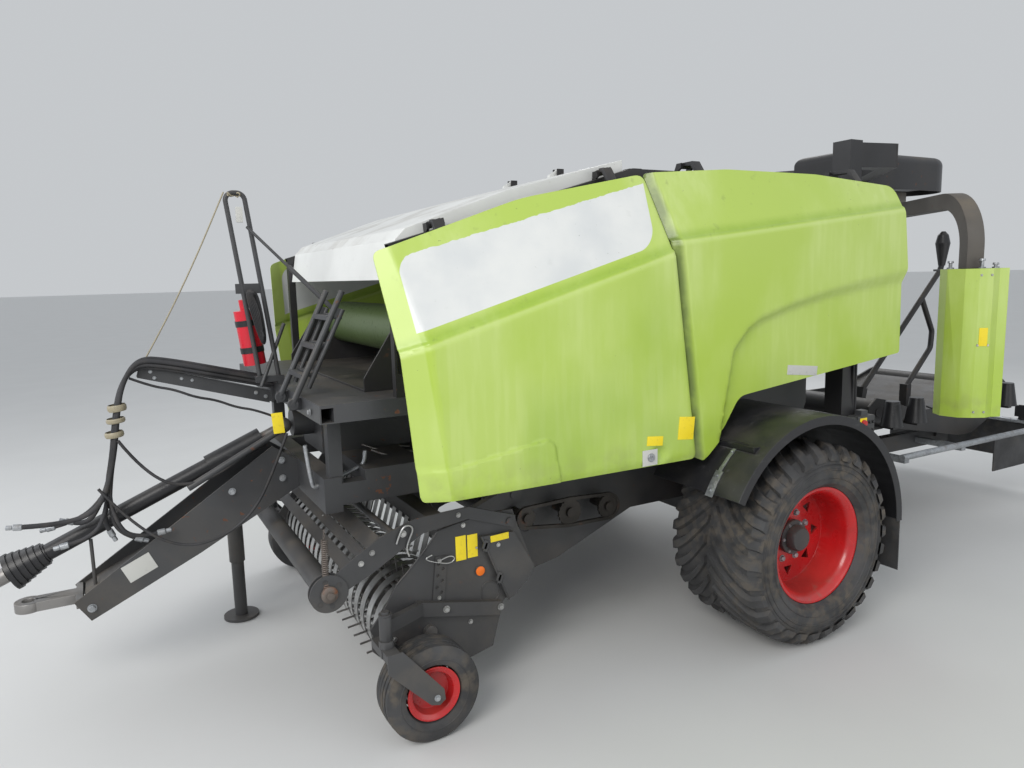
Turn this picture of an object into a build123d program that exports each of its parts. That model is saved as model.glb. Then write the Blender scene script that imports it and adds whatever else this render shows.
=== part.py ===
from build123d import *
import math
import os

# Round baler with a bale wrapper behind it, in millimetres.
# X runs to the rear, Y to the machine's right hand, Z up from the ground.
# The main axle is at X = 0 and the middle plane at Y = 0.

os.makedirs("parts", exist_ok=True)

SIDES = (("left", -1), ("right", 1))

# Clearances
SEAT = 0.3
FIT = 0.05
SWING = 8.0

# Main wheels
HUB_Z = 515.0
TYRE_R = 515.0
TYRE_W = 590.0
TRACK_HALF = 1165.0
RIM_R = 298.0
RIM_WELL_R = 255.0
DISC_IN = 60.0
DISC_T = 12.0
BOSS_R = 60.0

# Gauge wheels of the pickup
GAUGE_R = 206.0
GAUGE_W = 165.0
GAUGE_RIM_R = 115.0
GAUGE_X = -1985.0
GAUGE_Y = 1105.0
CASTOR_X = -2155.0
CASTOR_Z = 460.0
CASTOR_TUBE = 100.0
GAUGE_PIN_R = 12.0

# Main frame
RAIL_Y = 572.0
RAIL_W = 80.0
RAIL_H = 100.0
REAR_RAIL_Z = 600.0
FRONT_RAIL_Z = 890.0
FRAME_FRONT = -2240.0
FRAME_REAR = 1420.0

# Bale chamber
CHAMBER_X = -150.0
CHAMBER_Z = 1500.0
WALL_IN = 610.0
WALL_T = 20.0
ROLLER_R = 88.0
ROLLER_RING = 713.0
SPLIT_X = -40.0
GATE_HINGE_X = -110.0
GATE_HINGE_Z = 2345.0
GATE_REAR = 830.0

# Pickup
REEL_X = -1900.0
REEL_Z = 360.0
REEL_TIP = 275.0
BAND_R = 215.0
PICKUP_HALF = 930.0
PICKUP_PIVOT_X = -1330.0
PICKUP_PIVOT_Z = 820.0
PICKUP_PIN_R = 20.0
GUARD_PIN_X = -1500.0
GUARD_PIN_Z = 790.0
GUARD_PIN_R = 15.0
GUARD_Y = PICKUP_HALF + 14

# Side panels, outside the platform and the roof frame
DECK_HALF = 935.0
PANEL_Y = DECK_HALF + 265
PANEL_T = 6.0
PANEL_STEP = 16.0
PANEL_RISE = 15.8
PANEL_LEAN = 215.0
PANEL_GAP = 12.0
PANEL_HINGE_Y = DECK_HALF - 5
PANEL_HINGE_Z = 2400.0

# Front platform, hood and net box
DECK_Z = 1395.0
DECK_FRONT = -2320.0
HOOD_HALF = DECK_HALF - 55
HOOD_LOW = 1885.0
HOOD_FRONT = -1985.0
HOOD_T = 6.0

# Film wrapper
ROTOR_X = 2400.0
ARM_R = 1330.0
ARM_TURN = 33.0
ARM_Z = 2290.0
BEAM_LOW = 2450.0
BEAM_TOP = 2705.0
BEAM_ROUND = 62.0
GUARD_LOW = 955.0
GUARD_TOP = 1860.0

POST_X = 800.0
POST_Y = 885.0
HEAD_X = 2690.0
HEAD_HALF = 230.0
HEAD_START = 1650.0

# Wrapping table
TABLE_HALF = 560.0
TABLE_PIVOT_X = 2700.0
TABLE_PIVOT_Z = 640.0


# Planes and bars that many pieces share
def side_plane(y):
    return Plane(origin=(0, y, 0), x_dir=(1, 0, 0), z_dir=(0, -1, 0))


def side_face(points, y):
    with BuildSketch(side_plane(y)) as face:
        with BuildLine():
            Polyline(*points, close=True)
        make_face()
    return face.sketch


def plate(points, y, thick):
    extrude(side_face(points, y), amount=thick / 2, both=True)


def rod(start, end, radius, bore=0.0):
    run = Vector(end) - Vector(start)
    with BuildSketch(Plane(origin=start, z_dir=run)) as ring:
        Circle(radius)
        if bore:
            Circle(bore, mode=Mode.SUBTRACT)
    extrude(ring.sketch, amount=run.length)


def bar(start, end, width, height, wall=0.0):
    run = Vector(end) - Vector(start)
    across = run.cross(Vector(0, 0, 1))
    if across.length < 0.001:
        across = Vector(0, 1, 0)
    with BuildSketch(Plane(origin=start, x_dir=across, z_dir=run)) as section:
        Rectangle(width, height)
        if wall:
            Rectangle(width - 2 * wall, height - 2 * wall, mode=Mode.SUBTRACT)
    extrude(section.sketch, amount=run.length)


def turned(points, x, y, z):
    # A ring turned about a cross shaft: points are (distance along Y, radius)
    with BuildSketch(Plane(origin=(x, y, z), x_dir=(0, 1, 0), z_dir=(1, 0, 0))) as face:
        with BuildLine():
            Polyline(*points, close=True)
        make_face()
    revolve(face.sketch, axis=Axis((x, y, z), (0, 1, 0)))


def finish(part, label):
    part.label = label
    export_step(part, "parts/" + label + ".step")


# Axle beam with its stubs and saddles
AXLE_TUBE = 110.0
AXLE_END = 850.0
STUB_END = TRACK_HALF + 90.0

with BuildPart() as axle:
    with Locations((0, 0, HUB_Z)):
        Box(AXLE_TUBE, 2 * AXLE_END, AXLE_TUBE)
    for name, side in SIDES:
        rod((0, side * (AXLE_END - 20), HUB_Z), (0, side * STUB_END, HUB_Z), BOSS_R)
        saddle_h = REAR_RAIL_Z - HUB_Z - AXLE_TUBE / 2
        with Locations((0, side * RAIL_Y, REAR_RAIL_Z - saddle_h / 2)):
            Box(190, RAIL_W, saddle_h)
finish(axle.part, "axle")

# Main wheels: steel rim with a deep dish, and a flotation tyre
for name, side in SIDES:
    wheel_y = side * TRACK_HALF
    disc_y = side * DISC_IN
    with BuildPart() as rim:
        half = TYRE_W / 2 - 45
        turned(
            (
                (-half, RIM_R),
                (-half + 14, RIM_R),
                (-half + 30, RIM_R - 28),
                (-half + 90, RIM_WELL_R),
                (half - 90, RIM_WELL_R),
                (half - 30, RIM_R - 28),
                (half - 14, RIM_R),
                (half, RIM_R),
                (half, RIM_R - 12),
                (half - 24, RIM_R - 38),
                (half - 90, RIM_WELL_R - 8),
                (-half + 90, RIM_WELL_R - 8),
                (-half + 24, RIM_R - 38),
                (-half, RIM_R - 12),
            ),
            0, wheel_y, HUB_Z,
        )
        turned(
            (
                (disc_y - DISC_T / 2, BOSS_R + FIT),
                (disc_y - DISC_T / 2, RIM_WELL_R - 4),
                (disc_y + DISC_T / 2, RIM_WELL_R - 4),
                (disc_y + DISC_T / 2, BOSS_R + FIT),
            ),
            0, wheel_y, HUB_Z,
        )
        turned(
            (
                (disc_y - side * 100, BOSS_R + FIT),
                (disc_y - side * 100, 85),
                (disc_y + side * 20, 85),
                (disc_y + side * 20, BOSS_R + FIT),
            ),
            0, wheel_y, HUB_Z,
        )
        with BuildSketch(side_plane(wheel_y)) as window:
            with Locations((0, HUB_Z)):
                with PolarLocations(185, 8):
                    RegularPolygon(34, 3)
        extrude(window.sketch, amount=TYRE_W, both=True, mode=Mode.SUBTRACT)
    finish(rim.part, "rim_" + name)

    with BuildPart() as tyre:
        edge = TYRE_W / 2
        bead = half - 14.4
        turned(
            (
                (-bead, RIM_R + SEAT),
                (-edge + 12, RIM_R + 25),
                (-edge, (RIM_R + TYRE_R) / 2),
                (-edge + 8, TYRE_R - 60),
                (-edge + 40, TYRE_R - 18),
                (-edge + 120, TYRE_R - 4),
                (0, TYRE_R),
                (edge - 120, TYRE_R - 4),
                (edge - 40, TYRE_R - 18),
                (edge - 8, TYRE_R - 60),
                (edge, (RIM_R + TYRE_R) / 2),
                (edge - 12, RIM_R + 25),
                (bead, RIM_R + SEAT),
                (half - 90, RIM_R + SEAT),
                (-half + 90, RIM_R + SEAT),
            ),
            0, wheel_y, HUB_Z,
        )
    finish(tyre.part, "tyre_" + name)

# Main frame: rails, cross members and the fixed chamber walls
WALL_OUT = WALL_IN + WALL_T
FIXED_WALL = (
    (-1060, FRONT_RAIL_Z),
    (-1060, 1560),
    (-760, 2130),
    (-400, 2310),
    (SPLIT_X, 2310),
    (SPLIT_X, REAR_RAIL_Z + 10),
    (-560, REAR_RAIL_Z + 10),
    (-760, FRONT_RAIL_Z - 60),
)
GATE_PIN_R = 15.0
GATE_LUG = (
    (GATE_HINGE_X - 80, 2300),
    (GATE_HINGE_X - 40, GATE_HINGE_Z + 28),
    (GATE_HINGE_X + 40, GATE_HINGE_Z + 28),
    (GATE_HINGE_X + 66, 2300),
)
FEED_X = -1230.0
FEED_Z = 640.0
FEED_R = 215.0
FEED_SHAFT_R = 45.0
ROTOR_WALL = (
    (-1470, FRONT_RAIL_Z + 20),
    (-1470, 640),
    (-1400, 470),
    (-1230, 385),
    (-1040, 420),
    (-560, REAR_RAIL_Z + 10),
    (-560, FRONT_RAIL_Z + 20),
)
DECK_POSTS = (-2180, -1170)
DECK_LOW = DECK_Z - 68
SUB_Y = 330.0
SUB_Z = 560.0
SUB_END = 2800.0
PIVOT_R = 25.0
PIVOT_LUG = (
    (TABLE_PIVOT_X - 90, SUB_Z),
    (TABLE_PIVOT_X - 40, TABLE_PIVOT_Z + 40),
    (TABLE_PIVOT_X + 40, TABLE_PIVOT_Z + 40),
    (TABLE_PIVOT_X + 90, SUB_Z),
)
with BuildPart() as chassis:
    for name, side in SIDES:
        bar(
            (FRAME_FRONT, side * RAIL_Y, FRONT_RAIL_Z + RAIL_H / 2),
            (-700, side * RAIL_Y, FRONT_RAIL_Z + RAIL_H / 2),
            RAIL_W, RAIL_H, 8,
        )
        bar(
            (-620, side * RAIL_Y, REAR_RAIL_Z + RAIL_H / 2),
            (FRAME_REAR, side * RAIL_Y, REAR_RAIL_Z + RAIL_H / 2),
            RAIL_W, RAIL_H, 8,
        )
        plate(FIXED_WALL, side * (WALL_IN + WALL_T / 2), WALL_T)
        plate(GATE_LUG, side * (WALL_IN + WALL_T / 2), WALL_T)
        rod((GATE_HINGE_X, side * (WALL_IN + 5), GATE_HINGE_Z),
            (GATE_HINGE_X, side * (WALL_OUT + SWING + 22), GATE_HINGE_Z), GATE_PIN_R)
        for x in DECK_POSTS:
            foot = FRONT_RAIL_Z + RAIL_H - 10
            bar((x, side * RAIL_Y, foot), (x, side * RAIL_Y, DECK_LOW), 60, 60)
        plate(ROTOR_WALL, side * (WALL_IN + WALL_T / 2), WALL_T)
        rod((PICKUP_PIVOT_X, side * (WALL_IN + 5), PICKUP_PIVOT_Z),
            (PICKUP_PIVOT_X, side * (WALL_OUT + 66), PICKUP_PIVOT_Z), PICKUP_PIN_R)
        with BuildSketch(side_plane(side * (WALL_IN + WALL_T / 2))) as bearing:
            with Locations((FEED_X, FEED_Z)):
                Circle(FEED_SHAFT_R + FIT)
        extrude(bearing.sketch, amount=WALL_T, both=True, mode=Mode.SUBTRACT)
        bar((1200, side * SUB_Y, SUB_Z), (SUB_END, side * SUB_Y, SUB_Z), 70, 120, 8)
        plate(PIVOT_LUG, side * (SUB_Y + 45), 20)
    for x, z, height in (
        (FRAME_FRONT + 40, FRONT_RAIL_Z + RAIL_H / 2, 160),
        (-1080, FRONT_RAIL_Z + RAIL_H / 2, 80),
        (-560, REAR_RAIL_Z + RAIL_H / 2, 90),
        (760, REAR_RAIL_Z + RAIL_H / 2, 100),
        (FRAME_REAR - 50, REAR_RAIL_Z + RAIL_H / 2, 100),
    ):
        with Locations((x, 0, z)):
            Box(80, 2 * RAIL_Y + RAIL_W, height)
    with Locations((1260, 0, REAR_RAIL_Z + 10)):
        Box(100, 2 * RAIL_Y, 90)
    rod((TABLE_PIVOT_X, -SUB_Y - 200, TABLE_PIVOT_Z), (TABLE_PIVOT_X, SUB_Y + 200, TABLE_PIVOT_Z), PIVOT_R)
finish(chassis.part, "chassis")

# Driven rollers of the fixed half of the chamber
def roller_at(degrees):
    turn = math.radians(degrees)
    x = CHAMBER_X + ROLLER_RING * math.cos(turn)
    z = CHAMBER_Z + ROLLER_RING * math.sin(turn)
    return x, z


FIXED_ROLLERS = (103, 127, 151, 175, 236, 260)
GATE_ROLLERS = (288, 312, 336, 0, 24, 48, 72)

for label, angles in (("chamber_rollers", FIXED_ROLLERS), ("gate_rollers", GATE_ROLLERS)):
    with BuildPart() as rollers:
        for degrees in angles:
            x, z = roller_at(degrees)
            rod((x, -WALL_IN + SEAT, z), (x, WALL_IN - SEAT, z), ROLLER_R, ROLLER_R - 8)
    finish(rollers.part, label)

# Tailgate with its own rollers, hinged over the chamber
GATE_WALL = (
    (SPLIT_X + SWING, 2310),
    (330, 2310),
    (GATE_REAR - 90, 2080),
    (GATE_REAR - 10, 1800),
    (GATE_REAR - 10, 1050),
    (GATE_REAR - 140, 800),
    (GATE_REAR - 330, REAR_RAIL_Z + RAIL_H + SWING),
    (SPLIT_X + SWING, REAR_RAIL_Z + RAIL_H + SWING),
)
with BuildPart() as tailgate:
    for name, side in SIDES:
        plate(GATE_WALL, side * (WALL_IN + WALL_T / 2), WALL_T)
        plate(
            ((GATE_HINGE_X - 30, GATE_HINGE_Z - 25), (GATE_HINGE_X - 30, GATE_HINGE_Z + 25),
             (60, GATE_HINGE_Z + 15), (330, 2330), (330, 2290), (60, 2290)),
            side * (WALL_OUT + SWING + 8), 16,
        )
        with Locations((180, side * (WALL_OUT + SWING / 2), 2300)):
            Box(240, SWING + 2, 16)
        with BuildSketch(side_plane(side * (WALL_OUT + SWING + 8))) as knuckle:
            with Locations((GATE_HINGE_X, GATE_HINGE_Z)):
                Circle(GATE_PIN_R + FIT)
        extrude(knuckle.sketch, amount=12, both=True, mode=Mode.SUBTRACT)
    skin = (
        (330, 2310), (GATE_REAR - 90, 2080), (GATE_REAR - 10, 1800), (GATE_REAR - 10, 1050),
        (GATE_REAR - 140, 800), (GATE_REAR - 146, 805), (GATE_REAR - 16, 1054),
        (GATE_REAR - 16, 1798), (GATE_REAR - 95, 2075), (328, 2303),
    )
    plate(skin, 0, 2 * WALL_IN + 2)
finish(tailgate.part, "tailgate")

# Fenders: a plastic arch over each wheel, with a mudflap behind it
FENDER_R = 635.0
FENDER_T = 6.0
FENDER_IN = 850.0
FENDER_OUT = 1450.0
FENDER_Z = 545.0
FENDER_X = -25.0


with BuildPart() as fenders:
    for name, side in SIDES:
        middle = side * (FENDER_IN + FENDER_OUT) / 2
        for radius, thick, y, half in (
            (FENDER_R, FENDER_T, middle, (FENDER_OUT - FENDER_IN) / 2),
            (FENDER_R, 45.0, side * (FENDER_OUT - FENDER_T / 2), FENDER_T / 2),
        ):
            with BuildSketch(side_plane(y)) as arch:
                with BuildLine():
                    outer = CenterArc((FENDER_X, FENDER_Z), radius, 0, 152)
                    inner = CenterArc((FENDER_X, FENDER_Z), radius - thick, 0, 152)
                    Line(outer @ 0, inner @ 0)
                    Line(outer @ 1, inner @ 1)
                make_face()
            extrude(arch.sketch, amount=half, both=True)
        for degrees in (62, 128):
            turn = math.radians(degrees)
            bx = FENDER_X + (FENDER_R - FENDER_T) * math.cos(turn)
            bz = FENDER_Z + (FENDER_R - FENDER_T) * math.sin(turn)
            inner = WALL_OUT + SEAT
            if degrees < 90:
                inner = WALL_OUT + SWING
                bar((bx, side * (inner + 25), REAR_RAIL_Z + 20), (bx, side * (inner + 25), bz + 27), 50, 50)
                with Locations((bx, side * (RAIL_Y + RAIL_W / 2 + SEAT + 20), REAR_RAIL_Z + 50)):
                    Box(50, 40, 60)
            bar((bx, side * inner, bz + 14), (bx, side * (FENDER_OUT - 60), bz + 14), 40, 26)
finish(fenders.part, "fenders")
with BuildPart() as flaps:
    flap_x = FENDER_X + FENDER_R - FENDER_T / 2
    for name, side in SIDES:
        with Locations((flap_x, side * (FENDER_IN + FENDER_OUT) / 2, FENDER_Z - SEAT - 140)):
            Box(6, FENDER_OUT - FENDER_IN - 20, 280)
finish(flaps.part, "mudflaps")

# Side panels: a lower field, a crease that rises to the rear, and a field that leans in
FRONT_PANEL = (
    (-1990, 1010), (-608, 1003), (-790, 2338), (-1430, 2215), (-2090, 1994), (-2000, 1034),
)
REAR_PANEL = (
    (-608 + PANEL_GAP, 1003), (-560, 985), (-400, 1125), (-300, 1270), (943, 1398),
    (932, 1890), (872, 2323), (300, 2372), (-295, 2376), (-790 + PANEL_GAP, 2342),
)
PANELS = (
    # name, outline, crease point x and z, rise in degrees, hinge stations along X
    ("front_panel", FRONT_PANEL, -1970.0, 1630.0, PANEL_RISE, (-1800.0, -950.0)),
    ("rear_panel", REAR_PANEL, -614.0, 2038.0, 6.2, (-450.0, 620.0)),
)
HINGE_R = 8.0
KNUCKLE_R = 15.0
KNUCKLE_LEN = 60.0


def panel_depth(x, z, crease_x, crease_z, rise):
    # Distance from the middle plane of a panel's outer face, at a place above its crease
    height = (z - crease_z - (x - crease_x) * math.tan(math.radians(rise))) * math.cos(math.radians(rise))
    return PANEL_Y - PANEL_STEP - (PANEL_LEAN - PANEL_STEP) / 444 * (height - 6)


def hinge_line(kind, x):
    # Height of the hinge pin: it follows the top edge of the front panels
    if kind == "front_panel":
        return PANEL_HINGE_Z + (x + 780) * math.tan(math.radians(PANEL_RISE))
    return PANEL_HINGE_Z


# Front edges folded inward: fold line from (x, z) to (x, z), angle, and whether it lies above the crease
BEVELS = {
    "front_panel": (
        ((-1880, 960), (-1940, 1618), 27.0, False),
        ((-1944, 1640), (-2026, 2005), 24.0, True),
    ),
    "rear_panel": (
        ((-552, 960), (-694, 2030), 42.0, False),
        ((-696, 2046), (-738, 2350), 42.0, True),
    ),
}
# Shapes pressed into a panel's lower field: outline, depth inward and slope of its edge in degrees
PRESSINGS = {
    "front_panel": (
        ((-1884, 900), (-1884, 1142), (-1436, 1210), (-1400, 1180), (-1347, 900)), -8.0, 42.0,
    ),
    "rear_panel": (
        ((-470, 880), (-461, 1075), (-372, 1507), (-275, 1608), (-195, 1652), (293, 1773), (934, 1864),
         (1150, 1890), (1150, 880)), 34.0, 50.0,
    ),
}

for kind, outline, crease_x, crease_z, rise, stations in PANELS:
    lean = math.radians(rise)
    along = Vector(math.cos(lean), 0, math.sin(lean))
    hinge_way = along if kind == "front_panel" else Vector(1, 0, 0)
    start = Vector(crease_x, 0, crease_z) - along * 400
    pressing, press_depth, press_slope = PRESSINGS[kind]
    for name, side in SIDES:
        out = side * PANEL_Y
        drop = side * PANEL_LEAN
        with BuildPart() as body:
            with BuildSketch(Plane(origin=start, x_dir=(0, 1, 0), z_dir=along)) as fold:
                with BuildLine():
                    Polyline(
                        (out, -1400), (out, -26), (out - side * 5, -11), (out - side * PANEL_STEP, 6),
                        (out - drop, 450), (out - drop * 1.4, 630), (side * 700, 630), (side * 700, -1400),
                        close=True,
                    )
                make_face()
            extrude(fold.sketch, amount=2600)
            if press_depth > 0:
                extrude(side_face(pressing, out + side), amount=press_depth + 1, dir=(0, -side, 0),
                        taper=press_slope, mode=Mode.SUBTRACT)
            else:
                extrude(side_face(pressing, out - side), amount=1 - press_depth, dir=(0, side, 0), taper=press_slope)
            extrude(side_face(outline, side * 1000), amount=400, both=True, mode=Mode.INTERSECT)
            upward = Vector(-math.sin(lean), 0, math.cos(lean)) * (PANEL_LEAN - PANEL_STEP)
            for low, high, angle, above in BEVELS[kind]:
                ends = []
                for x, z in (low, high):
                    depth = panel_depth(x, z, crease_x, crease_z, rise) if above else PANEL_Y
                    ends.append(Vector(x, side * depth, z))
                way = (ends[1] - ends[0]).normalized()
                normal = Vector(0, side, 0)
                if above:
                    normal = (Vector(0, side * 444, 0) + upward).normalized()
                forward = way.cross(normal)
                if forward.X > 0:
                    forward = forward * -1
                sign = 1 if way.cross(forward).dot(normal) > 0 else -1
                with BuildSketch(Plane(origin=ends[0] - way * 12, x_dir=forward, z_dir=way)) as wedge:
                    with BuildLine():
                        Polyline((0, 0), (240, 60 * sign), (240, -240 * sign * math.tan(math.radians(angle))), close=True)
                    make_face()
                extrude(wedge.sketch, amount=(ends[1] - ends[0]).length + 24, mode=Mode.SUBTRACT)
        with BuildPart() as panel:
            add(body.part)
            add(body.part.moved(Location((0, -side * PANEL_T, 0))), mode=Mode.SUBTRACT)
            for x in stations:
                z = hinge_line(kind, x)
                pin = Vector(x, side * PANEL_HINGE_Y, z)
                across = Plane(origin=pin, x_dir=(0, 1, 0), z_dir=hinge_way)
                reach = panel_depth(x, z - 62, crease_x, crease_z, rise) - PANEL_HINGE_Y - 2
                with BuildSketch(across.offset(-KNUCKLE_LEN / 2)) as arm:
                    with BuildLine():
                        Polyline(
                            (0, KNUCKLE_R), (side * (reach - 50), KNUCKLE_R), (side * reach, -56),
                            (side * reach, -70), (side * (reach - 14), -66), (side * (reach - 60), 0), (0, 0),
                            close=True,
                        )
                    make_face()
                    Circle(KNUCKLE_R)
                    Circle(HINGE_R + FIT, mode=Mode.SUBTRACT)
                extrude(arm.sketch, amount=KNUCKLE_LEN)
        finish(panel.part, kind + "_" + name)

# Roof frame: hinge rails for the side panels and the hood, on the chamber walls
ROOF_W = 50.0
ROOF_Y = HOOD_HALF + SWING + ROOF_W / 2
HOOD_PIN = (-770.0, 2440.0)
HOOD_LUGS = (-260.0, 260.0)
with BuildPart() as roof:
    for name, side in SIDES:
        y = side * ROOF_Y
        low = hinge_line("front_panel", -2000)
        bar((-2000, y, low - 45), (-780, y, PANEL_HINGE_Z - 45), ROOF_W, 40, 4)
        bar((-800, y, PANEL_HINGE_Z - 47), (POST_X - 50 - SEAT, y, PANEL_HINGE_Z - 47), ROOF_W, 40, 4)
        for kind, outline, crease_x, crease_z, rise, stations in PANELS:
            lean = math.radians(rise)
            way = Vector(math.cos(lean), 0, math.sin(lean)) if kind == "front_panel" else Vector(1, 0, 0)
            for x in stations:
                pin = Vector(x, side * PANEL_HINGE_Y, hinge_line(kind, x))
                half = KNUCKLE_LEN / 2 + 12
                rod(pin - way * half, pin + way * half, HINGE_R)
                for end in (-1, 1):
                    across = Plane(origin=pin + way * end * (KNUCKLE_LEN / 2 + 6 + SEAT),
                                   x_dir=(0, 1, 0), z_dir=way)
                    with BuildSketch(across) as lug:
                        with BuildLine():
                            Polyline(
                                (side * 12, -12), (side * 12, 12), (-side * 20, 12),
                                (-side * 40, -30), (-side * 20, -30), close=True,
                            )
                        make_face()
                    extrude(lug.sketch, amount=6 - SEAT, both=True)
        bar((-1980, y, DECK_Z + 8), (-1980, y, low - 45), 40, 40)
        for x in (-560, -160):
            bar((x, side * WALL_OUT, 2260), (x, y, 2260), 40, 40)
            bar((x, y - side * 4, 2241), (x, y - side * 4, 2340), 40, 40)
    with Locations((-755, 0, PANEL_HINGE_Z - 45)):
        Box(50, 2 * ROOF_Y + ROOF_W, 40)
    for y in HOOD_LUGS:
        rod((HOOD_PIN[0], y - 26, HOOD_PIN[1]), (HOOD_PIN[0], y + 26, HOOD_PIN[1]), 9)
        for shift in (-20, 20):
            with Locations((HOOD_PIN[0] + 5, y + shift, PANEL_HINGE_Z - 25 + 42)):
                Box(40, 10, 84)
finish(roof.part, "roof_frame")

# Platform over the drawbar, with its front tube
DECK_TUBE = 60.0
LADDER_SIDES = (-650.0, -400.0)
LADDER_PIN_X = DECK_FRONT - 40
LADDER_PIN_Z = DECK_Z - 20
with BuildPart() as deck:
    plate_z = DECK_Z + 4
    with Locations(((DECK_FRONT - 1110) / 2, 0, plate_z)):
        Box(-1110 - DECK_FRONT, 2 * DECK_HALF, 8)
    for x in (DECK_FRONT + DECK_TUBE / 2, -1150):
        bar((x, -DECK_HALF, DECK_Z - 34), (x, DECK_HALF, DECK_Z - 34), DECK_TUBE, 68, 5)
    for name, side in SIDES:
        bar((DECK_FRONT + 60, side * (DECK_HALF - 30), DECK_Z - 34), (-1180, side * (DECK_HALF - 30), DECK_Z - 34),
            60, 68, 5)
    for y in LADDER_SIDES:
        rod((LADDER_PIN_X, y - 14, LADDER_PIN_Z), (LADDER_PIN_X, y + 20, LADDER_PIN_Z), 9)
        with Locations((DECK_FRONT - 24, y + 26, LADDER_PIN_Z - 4)):
            Box(52, 18, 50)
finish(deck.part, "platform")

# Ladder, folded up over the front of the platform, with its second length folded in behind
LADDER_LEN = 525.0
LADDER_LEAN = 27.0
LADDER_R = 13.0
NEST = 34.0
ladder_up = Vector(math.sin(math.radians(LADDER_LEAN)), 0, math.cos(math.radians(LADDER_LEAN)))
ladder_back = Vector(math.cos(math.radians(LADDER_LEAN)), 0, -math.sin(math.radians(LADDER_LEAN)))


def on_ladder(up, back, y):
    p = Vector(LADDER_PIN_X, y, LADDER_PIN_Z) + ladder_up * up + ladder_back * back
    return (p.X, p.Y, p.Z)


with BuildPart() as ladder:
    for y in LADDER_SIDES:
        rod(on_ladder(0, 0, y), on_ladder(LADDER_LEN, 0, y), LADDER_R)
        rod(on_ladder(88, NEST, y), on_ladder(LADDER_LEN - 70, NEST, y), LADDER_R - 2)
        bar(on_ladder(LADDER_LEN - 95, -6, y), on_ladder(LADDER_LEN - 95, NEST + 6, y), 16, 44)
        rod((LADDER_PIN_X, y - 10, LADDER_PIN_Z), (LADDER_PIN_X, y + 9, LADDER_PIN_Z), 22)
        with BuildSketch(side_plane(y)) as bore:
            with Locations((LADDER_PIN_X, LADDER_PIN_Z)):
                Circle(9 + FIT)
        extrude(bore.sketch, amount=20, both=True, mode=Mode.SUBTRACT)
    for up in (0.24, 0.5, 0.76):
        for back in (0, NEST):
            low = on_ladder(LADDER_LEN * up + back * 0.6, back, LADDER_SIDES[0] + 3)
            high = on_ladder(LADDER_LEN * up + back * 0.6, back, LADDER_SIDES[1] - 3)
            bar(low, high, 26, 20)
finish(ladder.part, "ladder")

# White hood over the net roll
HOOD_BACK = -800.0
with BuildPart() as hood:
    shape = (
        (-1700, HOOD_LOW), (HOOD_FRONT, HOOD_LOW), (HOOD_FRONT + 30, 2050),
        (HOOD_FRONT + 75, 2095), (-1430, 2262), (HOOD_BACK, 2420), (HOOD_BACK, 2300),
    )
    hollow = (
        (-1640, HOOD_LOW - 50), (HOOD_FRONT - 3, HOOD_LOW - 50), (HOOD_FRONT + 36, 2047),
        (HOOD_FRONT + 79, 2089), (-1428, 2255), (HOOD_BACK - 6, 2413), (HOOD_BACK - 6, 2230),
    )
    plate(shape, 0, 2 * HOOD_HALF)
    extrude(side_face(hollow, 0), amount=HOOD_HALF - HOOD_T, both=True, mode=Mode.SUBTRACT)
    for y in HOOD_LUGS:
        plate(((-830, 2405), (-830, 2425), (HOOD_PIN[0] - 4, HOOD_PIN[1] + 16), (HOOD_PIN[0], HOOD_PIN[1] - 16),
               (-790, 2405)), y, 20)
        with BuildSketch(side_plane(y)) as eye_ring:
            with Locations(HOOD_PIN):
                Circle(18)
        extrude(eye_ring.sketch, amount=10, both=True)
        with BuildSketch(side_plane(y)) as eye_bore:
            with Locations(HOOD_PIN):
                Circle(9 + FIT)
        extrude(eye_bore.sketch, amount=20, both=True, mode=Mode.SUBTRACT)
finish(hood.part, "front_hood")

# Gearbox behind the shaft and the net box above the platform
with BuildPart() as gearbox:
    with Locations((-1900, 0, (FRONT_RAIL_Z + RAIL_H + DECK_Z - 70) / 2 + 20)):
        Box(460, 380, 280)
    rod((-2130, 0, 1180), (-2234, 0, 1180), 70)
    with Locations((-1900, 0, 1014)):
        Box(300, 2 * RAIL_Y + RAIL_W, 48)
finish(gearbox.part, "gearbox")

with BuildPart() as net_box:
    low = DECK_Z + 8
    for side in (-1, 1):
        plate(((-2060, low), (-2060, low + 60), (-1900, 1700), (-1500, 1700), (-1180, 1500), (-1180, low)),
              side * 690, 10)
    with Locations((-1620, 0, low + 5)):
        Box(880, 1370, 10)
    plate(((-1186, low + 8), (-1186, 1500), (-1180, 1500), (-1180, low + 8)), 0, 1370)
finish(net_box.part, "net_box")
with BuildPart() as net_roll:
    rod((-1720, -684, 1640), (-1720, 684, 1640), 120, 38)
    rod((-1720, -685 + SEAT, 1640), (-1720, 685 - SEAT, 1640), 38)
finish(net_roll.part, "net_roll")

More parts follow.
